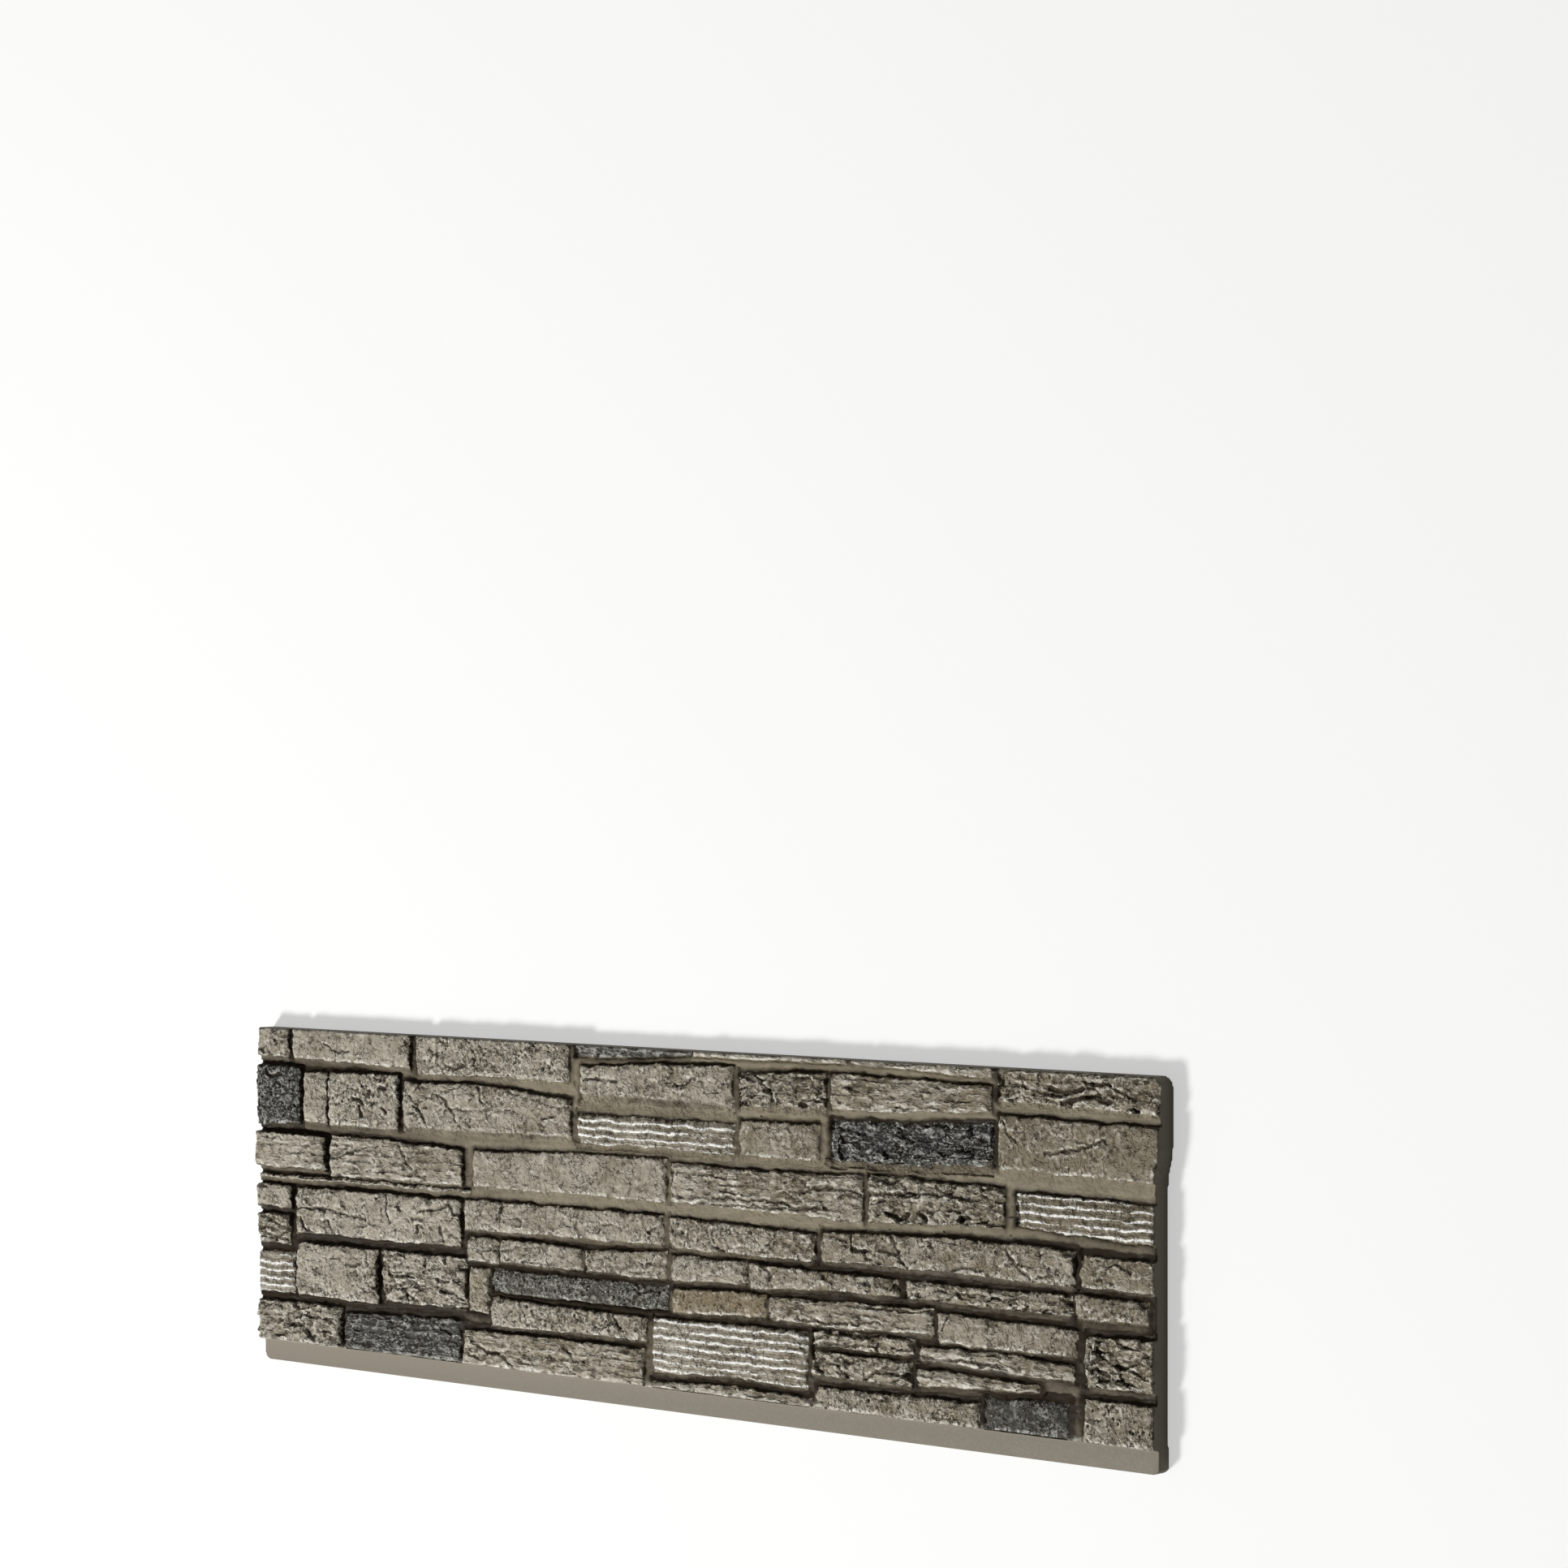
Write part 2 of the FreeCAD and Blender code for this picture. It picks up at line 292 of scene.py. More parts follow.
# Cracks that stand out on single stones, each along points that are given by their
# distances from the panel's left end and below its top edge, mm
CRACKS = (
    ((96, 14), (104, 18), (116, 20), (128, 20)),
    ((250, 2), (259, 6), (266, 9)),
    ((262, 28), (276, 29), (292, 28)),
    ((438, 33), (458, 31), (481, 32)),
    ((214, 57), (223, 66), (229, 76), (234, 83), (243, 90)),
    ((250, 54), (262, 60), (269, 68), (272, 77)),
    ((302, 45), (307, 52), (309, 60)),
    ((102, 123), (122, 118), (137, 113), (152, 110)),
    ((196, 104), (203, 112), (208, 120), (216, 124)),
    ((56, 172), (78, 171), (92, 170), (128, 175), (152, 174)),
    ((100, 181), (104, 188), (108, 193)),
    ((178, 151), (181, 166), (184, 178)),
    ((252, 179), (256, 187), (258, 194)),
    ((225, 165), (240, 162), (256, 160), (268, 156)),
    ((198, 235), (213, 231), (232, 234), (250, 232), (262, 236), (283, 240)),
    ((202, 246), (212, 243), (224, 247)),
    ((8, 182), (20, 186), (30, 190), (44, 191)),
    ((2, 196), (14, 200), (28, 203), (40, 203)),
    ((290, 276), (304, 282), (317, 287), (332, 288), (349, 296)),
    ((286, 288), (298, 293), (310, 296)),
    ((412, 275), (422, 279), (432, 286)),
    ((596, 129), (614, 126), (642, 127), (664, 127), (680, 127), (692, 130)),
    ((546, 136), (590, 134), (640, 133), (690, 132), (732, 130)),
    ((700, 119), (716, 113), (730, 111), (746, 112), (768, 113)),
    ((546, 105), (552, 112), (548, 120)),
    ((774, 113), (800, 112), (836, 112)),
    ((640, 14), (652, 22), (664, 30), (668, 40)),
    ((700, 40), (716, 37), (727, 38)),
    ((757, 149), (758, 158), (761, 163)),
    ((804, 149), (809, 158), (813, 166), (817, 170)),
    ((836, 148), (844, 150), (849, 157)),
    ((927, 150), (934, 158), (945, 165), (952, 172)),
    ((655, 181), (662, 188), (667, 198)),
    ((775, 210), (800, 209), (824, 210), (846, 210)),
    ((866, 206), (862, 214), (858, 222)),
    ((700, 225), (728, 226), (762, 224), (790, 221)),
    ((716, 264), (728, 259), (744, 263), (756, 270)),
    ((771, 271), (784, 265), (796, 263), (812, 264)),
    ((718, 246), (734, 244), (748, 246), (764, 243)),
    ((474, 240), (480, 247), (489, 255)),
    ((970, 70), (986, 66), (1004, 63), (1030, 55)),
    ((924, 45), (928, 54), (938, 60)),
    ((1014, 222), (1030, 231), (1052, 238), (1074, 243)),
    ((1012, 240), (1032, 248), (1060, 250)),
    ((930, 12), (960, 18), (984, 20)),
    ((1036, 10), (1048, 16), (1060, 22)),
    ((835, 246), (858, 248), (890, 246), (930, 250)),
)

# Wider hollows where a flake has come away, laid out as the cracks are
HOLLOWS = (
    ((134, 63), (141, 64), (148, 67)),
    ((143, 72), (146, 79)),
    ((177, 69), (181, 72)),
    ((172, 51), (180, 52)),
    ((14, 40), (22, 46), (34, 44)),
    ((811, 135), (817, 130), (823, 128)),
    ((834, 126), (842, 131)),
    ((880, 127), (887, 124)),
    ((938, 111), (940, 120), (938, 128)),
    ((760, 160), (768, 163), (776, 161)),
    ((86, 169), (96, 171)),
    ((60, 180), (68, 190), (80, 195)),
    ((318, 286), (330, 287)),
    ((744, 233), (760, 234), (786, 232)),
    ((806, 188), (815, 192)),
    ((986, 186), (998, 189)),
    ((1022, 240), (1036, 243)),
    ((700, 41), (708, 43)),
    ((972, 13), (990, 17), (1006, 14)),
    ((984, 25), (1010, 21), (1036, 23)),
    ((1018, 10), (1030, 9)),
)


@dataclass
class Scores:
    """Lines scored into the face, as loose edges for the relief tree to measure to.

    Attributes:
        name: The object's name.
        lines: Chains of points, each given along and down from the top left, mm.
    """

    name: str
    lines: tuple[tuple[tuple[float, float], ...], ...]

    def build(self) -> bpy.types.Object:
        """Makes the object.

        Returns:
            An object with one chain of edges for each line, at z = 0.
        """
        low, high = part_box(NODE)
        points = []
        edges = []
        for chain in self.lines:
            edges += [(len(points) + step, len(points) + step + 1) for step in range(len(chain) - 1)]
            points += [(low[0] + along * MM, high[1] - down * MM, 0.0) for along, down in chain]
        mesh = bpy.data.meshes.new(self.name)
        mesh.from_pydata(points, edges, [])
        return bpy.data.objects.new(self.name, mesh)


def joined_copy() -> tuple[bpy.types.Mesh, bmesh.types.BMesh]:
    """Copies the frame's solid, whose triangles are loose, and joins them.

    Returns:
        The copied mesh, and its joined shell to be written back to it.
    """
    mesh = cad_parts[NODE].data.copy()
    shell = bmesh.new()
    shell.from_mesh(mesh)
    bmesh.ops.remove_doubles(shell, verts=shell.verts, dist=1e-6)
    return mesh, shell


@dataclass
class StoneFaces:
    """The flat faces of the stones, lifted from the frame, with how each is worked.

    Attributes:
        lowest: Height above the back that every stone's face stands over, metres.
        flatness: Least upward part of a stone face's normal. Ledges in the joints slope more.
        crease: Angle under which triangles are joined into one face, degrees.
    """

    lowest: float = 16.5 * MM
    flatness: float = 0.995
    crease: float = 0.2

    def build(self) -> bpy.types.Object:
        """Makes an object with one flat face for each stone.

        Returns:
            The object, flattened to z = 0, with its heights and its workings as attributes.
        """
        mesh, shell = joined_copy()
        others = [
            face for face in shell.faces
            if face.normal.z < self.flatness or face.calc_center_median().z < self.lowest
        ]
        bmesh.ops.delete(shell, geom=others, context="FACES")
        bmesh.ops.dissolve_limit(
            shell, angle_limit=math.radians(self.crease), verts=shell.verts, edges=shell.edges
        )
        shell.to_mesh(mesh)
        shell.free()
        self._flatten(mesh)
        self._describe(mesh)
        return bpy.data.objects.new("stone_faces", mesh)

    def _flatten(self, mesh: bpy.types.Mesh) -> None:
        """Keeps each corner's height as an attribute and drops it to z = 0.

        Args:
            mesh: The stones' faces.
        """
        level = mesh.attributes.new("level", "FLOAT", "POINT")
        for place, vertex in enumerate(mesh.vertices):
            level.data[place].value = vertex.co.z / MM
            vertex.co.z = 0.0

    def _describe(self, mesh: bpy.types.Mesh) -> None:
        """Gives each face the relief and the paint of the stone noted on it.

        Args:
            mesh: The stones' faces.
        """
        low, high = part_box(NODE)
        for name in STONE_VECTORS:
            mesh.attributes.new(name, "FLOAT_VECTOR", "FACE")
        for name in STONE_NUMBERS:
            mesh.attributes.new(name, "FLOAT", "FACE")
        notes = {}
        for note in STONES:
            point = Vector((low[0] + note.along * MM, high[1] - note.down * MM, 0.0))
            nearest = min(mesh.polygons, key=lambda face: self._reach(mesh, face, point))
            notes[nearest.index] = note
        for face in mesh.polygons:
            note = notes.get(face.index, Stone(0, 0, Cut.SPLIT))
            relief = RELIEFS[note.cut]
            vectors = (
                (relief.lump, relief.facet, relief.layer),
                (relief.crack, relief.pit, relief.vein),
                (note.tint, note.charcoal, note.ochre),
            )
            for name, value in zip(STONE_VECTORS, vectors):
                mesh.attributes[name].data[face.index].vector = value
            for name, value in zip(STONE_NUMBERS, (relief.chip, note.foot, face.index)):
                mesh.attributes[name].data[face.index].value = value
        log.info("%d stone faces, %d of them noted", len(mesh.polygons), len(notes))

    def _reach(self, mesh: bpy.types.Mesh, face: bpy.types.MeshPolygon, point: Vector) -> float:
        """How far a point lies outside a face's bounding rectangle.

        Args:
            mesh: The stones' faces.
            face: One of them.
            point: The point, in the plane of the faces.

        Returns:
            The distance, metres.
        """
        corners = [mesh.vertices[index].co for index in face.vertices]
        gaps = []
        for axis in (0, 1):
            least = min(corner[axis] for corner in corners)
            most = max(corner[axis] for corner in corners)
            gaps.append(max(least - point[axis], point[axis] - most, 0.0))
        return math.hypot(*gaps)


@dataclass(frozen=True)
class ReliefSizes:
    """Sizes of the relief, each an input of the tree under its own name.

    A pattern's size is the length, the height and an unused depth of its waves or cells.
    All are in millimetres but slopes, shares, fades and the seed.

    Attributes:
        lump: Broad swells.
        facet: Fracture planes.
        facet_tilt: How steep they are.
        bed: Ledges of bedding.
        bed_patch: Stretches in which the bedding shows.
        crack: Cells that random cracks run between.
        crack_patch: Stretches in which these show.
        pit: Cells with a pit in each.
        pit_patch: Stretches in which pits are wide.
        chip: Small chips.
        chip_patch: Stretches in which chips stand high.
        grain: Lumps finer than a chip.
        flake: Flat flakes with stepped edges.
        bite: Bites out of a stone's rim.
        bend: Waves that bend the patterns of cells.
        stray: Waves that the scored lines stray by.
        smear: Smears on the mortar.
        flake_depth: Height of a step between flakes, as a share of the chips' depth.
        cracks_width: Half width of the cracks laid out by place.
        cracks_depth: Their depth.
        cracks_fade: How many times wider they are on their upper right.
        hollows_width: Half width of the hollows laid out by place.
        hollows_depth: Their depth.
        hollows_fade: How many times wider they are on their upper right.
        edge_wander: How far the stones' outlines stray.
        edge_wear: Depth of the wear along a stone's rim.
        border: How far inside the panel's own edges the wander and the wear begin.
        border_end: How far inside they are at their full.
        groove_floor: Height of the grooves' floor above the back.
        shoulder: Margin below a stone's face from which up it has its full relief, and
            below the grooves' floor from which up anything is worked.
        highest: Height above the back that nothing stands over.
        leveling: How gently the relief levels off there.
        ledge_height: How far mortar rises towards the stone above it and falls towards the
            one below.
        joint_fill: How much fuller than the solid the joints are pointed.
        smear_height: Height of the smears on the mortar.
        foot_depth: How deep a smeared foot goes.
        foot_full: Share of a foot's height that is smeared all over.
        apart: How far apart two stones read the patterns.
        seed: Shift of every stone's patterns.
    """

    lump: Size = (42.0, 17.0, 1.0)
    facet: Size = (24.0, 10.0, 1.0)
    facet_tilt: float = 2.2
    bed: Size = (60.0, 7.0, 1.0)
    bed_patch: Size = (28.0, 11.0, 1.0)
    crack: Size = (30.0, 14.0, 1.0)
    crack_patch: Size = (38.0, 28.0, 1.0)
    pit: Size = (6.0, 6.0, 1.0)
    pit_patch: Size = (22.0, 14.0, 1.0)
    chip: Size = (5.2, 5.2, 1.0)
    chip_patch: Size = (20.0, 12.0, 1.0)
    grain: Size = (3.4, 2.8, 1.0)
    flake: Size = (17.0, 10.0, 1.0)
    bite: Size = (14.0, 12.0, 1.0)
    bend: Size = (13.0, 8.0, 1.0)
    stray: Size = (7.0, 7.0, 1.0)
    smear: Size = (36.0, 8.0, 1.0)
    flake_depth: float = 0.7
    cracks_width: float = 1.0
    cracks_depth: float = 1.3
    cracks_fade: float = 5.0
    hollows_width: float = 3.8
    hollows_depth: float = 2.2
    hollows_fade: float = 1.0
    edge_wander: float = 2.6
    edge_wear: float = 1.7
    border: float = 1.5
    border_end: float = 8.0
    groove_floor: float = 15.5
    shoulder: float = 0.9
    highest: float = 24.45
    leveling: float = 0.7
    ledge_height: float = 1.0
    joint_fill: float = 2.0
    smear_height: float = 3.0
    foot_depth: float = 2.6
    foot_full: float = 0.55
    apart: float = 137.31
    seed: float = 41.0


@dataclass
class ReliefTree:
    """The Geometry Nodes tree that works the moulded faces.

    It takes the panel's fine mesh and the stones' flat faces. Each point finds the
    stone that it belongs to and is moved by that stone's own relief, and it keeps
    what the paint needs to know as attributes. Lengths in the tree are millimetres.

    Attributes:
        name: The tree's name.
        sizes: Its sizes, which become its named inputs.
    """

    name: str = "worked_faces"
    sizes: ReliefSizes = ReliefSizes()

    def build(self) -> bpy.types.NodeTree:
        """Makes the tree.

        Returns:
            The node group.
        """
        tree = bpy.data.node_groups.new(self.name, "GeometryNodeTree")
        self.tree = tree
        sockets = tree.interface
        kinds = {"Geometry": "Geometry", "Stones": "Object", "Cracks": "Object", "Hollows": "Object",
                 "Material": "Material"}
        for name, kind in kinds.items():
            sockets.new_socket(name, in_out="INPUT", socket_type=f"NodeSocket{kind}")
        for name, value in asdict(self.sizes).items():
            kind = "Vector" if isinstance(value, tuple) else "Float"
            socket = sockets.new_socket(name.replace("_", " ").title(), in_out="INPUT",
                                        socket_type=f"NodeSocket{kind}")
            socket.default_value = value
        sockets.new_socket("Geometry", in_out="OUTPUT", socket_type="NodeSocketGeometry")
        self.given = add(tree, "NodeGroupInput").outputs
        self._find_place()
        self._find_stone()
        self._find_border()
        self._wander()
        self.hollows = self._hollows()
        self._finish(self._relief(), self._joints())
        return tree

    def _find_place(self) -> None:
        """Reads each point's place, in millimetres, and whether it lies above the grooves' floor."""
        tree = self.tree
        position = add(tree, "GeometryNodeInputPosition")
        scaled = add(tree, VECTOR, {0: position, "Scale": 1 / MM}, operation="SCALE")
        self.place = add(tree, APART, {0: scaled}).outputs
        self.flat = add(tree, TOGETHER, {0: self.place["X"], 1: self.place["Y"]})
        self.ground = add(tree, VECTOR, {0: position, 1: FLAT}, operation="MULTIPLY")
        floor = add(tree, MATH, {0: self.given["Groove Floor"], 1: self.given["Shoulder"]},
                    operation="SUBTRACT")
        self.above = add(tree, MATH, {0: self.place["Z"], 1: floor}, operation="GREATER_THAN")

    def _find_stone(self) -> None:
        """Finds each point's stone, where it lies on it, and how far it stands on that stone."""
        tree = self.tree
        stones = add(tree, "GeometryNodeObjectInfo", {"Object": self.given["Stones"]})
        surface = stones.outputs["Geometry"]
        kinds = dict.fromkeys(("level", *STONE_NUMBERS), "FLOAT")
        kinds.update(dict.fromkeys(STONE_VECTORS, "FLOAT_VECTOR"))
        sampled = {}
        for name, kind in kinds.items():
            read = add(tree, "GeometryNodeInputNamedAttribute", {"Name": name}, data_type=kind)
            sampled[name] = add(
                tree, "GeometryNodeSampleNearestSurface",
                {"Mesh": surface, "Value": read, "Sample Position": self.ground}, data_type=kind,
            )
        self.shape = add(tree, APART, {0: sampled["shape"]}).outputs
        self.wear = add(tree, APART, {0: sampled["wear"]}).outputs
        self.paint = sampled["paint"]
        self.chip = sampled["chip"]

        edge, tip, face = (
            add(tree, "GeometryNodeProximity", {0: surface, "Sample Position": self.ground},
                target_element=element).outputs
            for element in ("EDGES", "POINTS", "FACES")
        )
        self.from_edge, self.from_tip, self.off_stone = (
            total(tree, (nearest["Distance"], 1 / MM)) for nearest in (edge, tip, face)
        )
        self.toward = add(tree, APART, {0: self._heading(self.ground, face["Position"])}).outputs
        self.inside = add(tree, MATH, {0: self.off_stone, 1: -2.0, 2: self.from_edge},
                          operation="MULTIPLY_ADD")

        # A lower rim is where the way out of the stone points down the panel
        inward = add(tree, APART, {0: self._heading(edge["Position"], self.ground)})
        side = add(tree, MATH, {0: self.inside}, operation="SIGN")
        upward = total(tree, (side, inward.outputs["Y"]))
        self.lower = add(tree, RANGE, {0: upward, 1: 0.5, 2: 0.9})

        # A smeared foot fades in from its top, with a hair's breadth even where there is none
        start = add(tree, MATH, {0: sampled["foot"], 1: self.given["Foot Full"]}, operation="MULTIPLY")
        end = add(tree, MATH, {0: sampled["foot"], 1: 0.001})
        foot = add(tree, RANGE, {0: self.inside, 1: end, 2: start}, interpolation_type="SMOOTHSTEP")
        self.foot = total(tree, (foot, self.lower))

        shoulder = add(tree, MATH, {0: sampled["level"], 1: self.given["Shoulder"]},
                       operation="SUBTRACT")
        self.stand = add(tree, RANGE, {0: self.place["Z"], 1: self.given["Groove Floor"], 2: shoulder})

        # Each stone reads the patterns in a place of its own
        jump = total(tree, (sampled["number"], self.given["Apart"]), self.given["Seed"])
        jump = add(tree, TOGETHER, {0: jump, 1: jump, 2: jump})
        self.own = add(tree, VECTOR, {0: self.flat, 1: jump})

    def _find_border(self) -> None:
        """Rates how far each point lies inside the panel's own edges, from 0 to 1."""
        tree = self.tree
        low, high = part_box(NODE)
        self.inner = None
        borders = (
            (0, low[0], 1), (0, high[0] - END_STEP, -1),
            (1, low[1] + LIP_DEPTH, 1), (1, high[1], -1),
        )
        for axis, border, side in borders:
            gap = add(tree, MATH, {0: self.place[axis], 1: side, 2: -side * border / MM},
                      operation="MULTIPLY_ADD")
            gap = add(tree, RANGE, {0: gap, 1: self.given["Border"], 2: self.given["Border End"]},
                      interpolation_type="SMOOTHSTEP")
            if self.inner is not None:
                gap = add(tree, MATH, {0: self.inner, 1: gap}, operation="MULTIPLY")
            self.inner = gap

    def _heading(self, start: Value, end: Value) -> bpy.types.Node:
        """The direction from one place to another.

        Args:
            start: The place to start at.
            end: The place to head for.

        Returns:
            The node with the direction, of length one.
        """
        way = add(self.tree, VECTOR, {0: end, 1: start}, operation="SUBTRACT")
        return add(self.tree, VECTOR, {0: way}, operation="NORMALIZE")

    def _stretched(self, pattern: str) -> bpy.types.Node:
        """The place on the stone in waves or cells of a pattern.

        Args:
            pattern: The input with the pattern's size.

        Returns:
            The node with the stretched place.
        """
        return add(self.tree, VECTOR, {0: self.own, 1: self.given[pattern]}, operation="DIVIDE")

    def _swing(self, pattern: str, detail: float, reach: float = 1.0) -> bpy.types.Node:
        """A noise that swings about nought.

        Args:
            pattern: The input with the size of its waves.
            detail: How many finer octaves it has.
            reach: About how far it swings to either side.

        Returns:
            The node with the value.
        """
        noise = add(self.tree, NOISE, {"Vector": self._stretched(pattern), "Scale": 1.0,
                                       "Detail": detail, "Roughness": NOISE_ROUGHNESS})
        noise = add(self.tree, MATH, {0: noise, 1: 0.5}, operation="SUBTRACT")
        return add(self.tree, MATH, {0: noise, 1: NOISE_REACH * reach}, operation="MULTIPLY")

    def _sway(self, where: bpy.types.Node, detail: float = 3.0) -> bpy.types.Node:
        """A noise that swings about nought on each axis.

        Args:
            where: The place, in waves.
            detail: How many finer octaves it has.

        Returns:
            The node with the vector.
        """
        noise = add(self.tree, NOISE, {"Vector": where, "Scale": 1.0, "Detail": detail})
        return add(self.tree, VECTOR, {0: noise.outputs["Color"], 1: MIDDLE}, operation="SUBTRACT")

    def _bent(self, pattern: str, bend: float) -> bpy.types.Node:
        """The stretched place, bent by a finer noise so that cell patterns lose their straight edges.

        Args:
            pattern: The input with the pattern's size.
            bend: How far it is bent, in cells.

        Returns:
            The node with the bent place.
        """
        sway = add(self.tree, VECTOR, {0: self._sway(self._stretched("Bend")), "Scale": bend},
                   operation="SCALE")
        return add(self.tree, VECTOR, {0: self._stretched(pattern), 1: sway})

    def _scored(self, name: str) -> bpy.types.Node:
        """How deep the cracks or hollows laid out by place cut, which stray a little.

        The face comes back up more slowly on the upper right of a crack than on its lower
        left, so that it reads as the edge of a flake that has come away.

        Args:
            name: The input with the lines' object, which its sizes are named after.

        Returns:
            The node with the depth, mm.
        """
        tree = self.tree
        lines = add(tree, "GeometryNodeObjectInfo", {"Object": self.given[name]})
        stray = add(tree, VECTOR, {0: self._sway(self._stretched("Stray")), 1: (7 * MM, 7 * MM, 0.0)},
                    operation="MULTIPLY")
        strayed = add(tree, VECTOR, {0: self.ground, 1: stray})
        nearest = add(tree, "GeometryNodeProximity",
                      {0: lines.outputs["Geometry"], "Sample Position": strayed},
                      target_element="EDGES").outputs
        off = total(tree, (nearest["Distance"], 1 / MM))
        side = add(tree, VECTOR, {0: self._heading(nearest["Position"], strayed), 1: (0.6, 0.8, 0.0)},
                   operation="DOT_PRODUCT").outputs["Value"]
        width = add(tree, RANGE, {0: side, 1: -0.1, 2: 0.4, 3: 1.0, 4: self.given[f"{name} Fade"]})
        width = total(tree, (width, self.given[f"{name} Width"]))
        return add(tree, RANGE, {0: off, 1: 0.0, 2: width, 3: self.given[f"{name} Depth"], 4: 0.0},
                   interpolation_type="SMOOTHERSTEP")

    def _hollows(self) -> bpy.types.Node:
        """Adds up cracks, pits and the lines laid out by place.

        Returns:
            The node with their depth, mm.
        """
        tree = self.tree
        crack, pit, _ = self.wear
        seams = add(tree, CELLS, {"Vector": self._bent("Crack", 0.75), "Scale": 1.0},
                    feature="DISTANCE_TO_EDGE", voronoi_dimensions="2D")
        seams = add(tree, RANGE, {0: seams, 1: 0.0, 2: 0.07, 3: 1.0, 4: 0.0})
        patches = add(tree, RANGE, {0: self._swing("Crack Patch", 1.0), 1: -0.05, 2: 0.25})

        holes = add(tree, CELLS, {"Vector": self._bent("Pit", 0.5), "Scale": 1.0},
                    voronoi_dimensions="2D")
        reach = add(tree, RANGE, {0: self._swing("Pit Patch", 3.0), 1: -0.3, 2: 0.7, 3: 0.0, 4: 0.6})
        holes = add(tree, MATH, {0: reach, 1: holes.outputs["Distance"]}, operation="SUBTRACT")
        holes = add(tree, RANGE, {0: holes, 1: 0.0, 2: 0.3})
        depth = total(tree, (seams, patches, crack), (holes, pit))
        for name in ("Cracks", "Hollows"):
            depth = add(tree, MATH, {0: depth, 1: self._scored(name)}, operation="MAXIMUM")
        return depth

    def _planes(self) -> bpy.types.Node:
        """Fracture planes: each cell of a bent pattern stands and tilts in its own way.

        Returns:
            The node with their height, of which 1 is a full facet.
        """
        tree = self.tree
        bent = self._bent("Facet", 0.8)
        cells = add(tree, CELLS, {"Vector": bent, "Scale": 1.0}, voronoi_dimensions="2D")
        tilt = add(tree, VECTOR, {0: cells.outputs["Color"], 1: MIDDLE}, operation="SUBTRACT")
        arm = add(tree, VECTOR, {0: bent, 1: cells.outputs["Position"]}, operation="SUBTRACT")
        arm = add(tree, VECTOR, {0: arm, 1: FLAT}, operation="MULTIPLY")
        slope = add(tree, VECTOR, {0: tilt, 1: arm}, operation="DOT_PRODUCT")
        step = add(tree, APART, {0: tilt})
        return add(tree, MATH, {0: slope.outputs["Value"], 1: self.given["Facet Tilt"],
                                2: step.outputs["Z"]}, operation="MULTIPLY_ADD")

    def _beds(self) -> bpy.types.Node:
        """Bedding: saw-toothed ledges up the stone, broken up along it.

        Returns:
            The node with their height, of which 1 is a full ledge.
        """
        tree = self.tree
        beds = add(
            tree, "ShaderNodeTexWave",
            {"Vector": self._stretched("Bed"), "Scale": 2 / math.tau, "Distortion": 4.5,
             "Detail": 4.0, "Detail Scale": 0.9, "Detail Roughness": 0.6},
            bands_direction="Y", wave_profile="SAW",
        )
        beds = add(tree, MATH, {0: beds.outputs["Fac"], 1: 0.5}, operation="SUBTRACT")
        patches = add(tree, RANGE, {0: self._swing("Bed Patch", 2.0), 1: -0.4, 2: 0.4})
        return total(tree, (beds, patches))

    def _chips(self) -> tuple[bpy.types.Node, ...]:
        """Chips: small rounded lumps between sharp little valleys, with finer lumps on them.

        Returns:
            The nodes with the chips' height, their patches' share and the finer lumps' height.
        """
        tree = self.tree
        lumps = add(tree, CELLS, {"Vector": self._bent("Chip", 1.3), "Scale": 1.0, "Detail": 1.0,
                                  "Roughness": 0.45}, voronoi_dimensions="2D")
        lumps = add(tree, MATH, {0: 0.45, 1: lumps.outputs["Distance"]}, operation="SUBTRACT")
        patches = add(tree, RANGE, {0: self._swing("Chip Patch", 2.0), 1: -0.5, 2: 0.6, 3: 0.35, 4: 1.3})
        return lumps, patches, self._swing("Grain", 2.0, 0.26)

    def _rim(self) -> bpy.types.Node:
        """The rim is worn down unevenly, and most at the corners.

        Returns:
            The node with the wear, of which 1 is the full depth.
        """
        tree = self.tree
        rim = add(tree, RANGE, {0: self.from_edge, 1: 0.0, 2: 6.0, 3: 1.0, 4: 0.0},
                  interpolation_type="SMOOTHSTEP")
        tip = add(tree, RANGE, {0: self.from_tip, 1: 1.0, 2: 9.0, 3: 1.0, 4: 0.0},
                  interpolation_type="SMOOTHSTEP")
        bite = add(tree, RANGE, {0: self._swing("Bite", 3.0), 1: -0.3, 2: 0.9, 3: 0.1, 4: 1.3})
        return total(tree, (rim, total(tree, bite, tip)))

    def _relief(self) -> bpy.types.Node:
        """Adds up every kind of relief on the stones.

        Returns:
            The node with the height to add, mm.
        """
        tree = self.tree
        lump, facet, layer = self.shape
        lumps, patches, grains = self._chips()
        crumbly = add(tree, RANGE, {0: self.chip, 1: 0.6, 2: 1.2, 3: 0.2, 4: 1.0})
        flakes = treads(tree, self._swing("Flake", 4.0, 1.7))
        veins, _ = vein_bands(tree, *self.worn_place[:2])
        raised = total(
            tree,
            (self._swing("Lump", 4.0), lump),
            (self._planes(), facet),
            (self._beds(), layer),
            (lumps, patches, self.chip, crumbly),
            (grains, self.chip, crumbly),
            (flakes, self.chip, self.given["Flake Depth"]),
            (veins, self.wear["Z"]),
            (self.hollows, -1.0),
            (self._rim(), self.given["Edge Wear"], self.inner, -1.0),
        )

        # Mortar is smeared over the foot of some stones and slopes down to the joint
        smooth = add(tree, RANGE, {0: self.inside, 1: 0.0, 2: 14.0, 3: self.given["Foot Depth"], 4: 0.0})
        raised = add(tree, MIX, {"Factor": self.foot, "A": raised, "B": total(tree, (smooth, -1.0))},
                     data_type="FLOAT")
        return total(tree, (raised, self.stand))

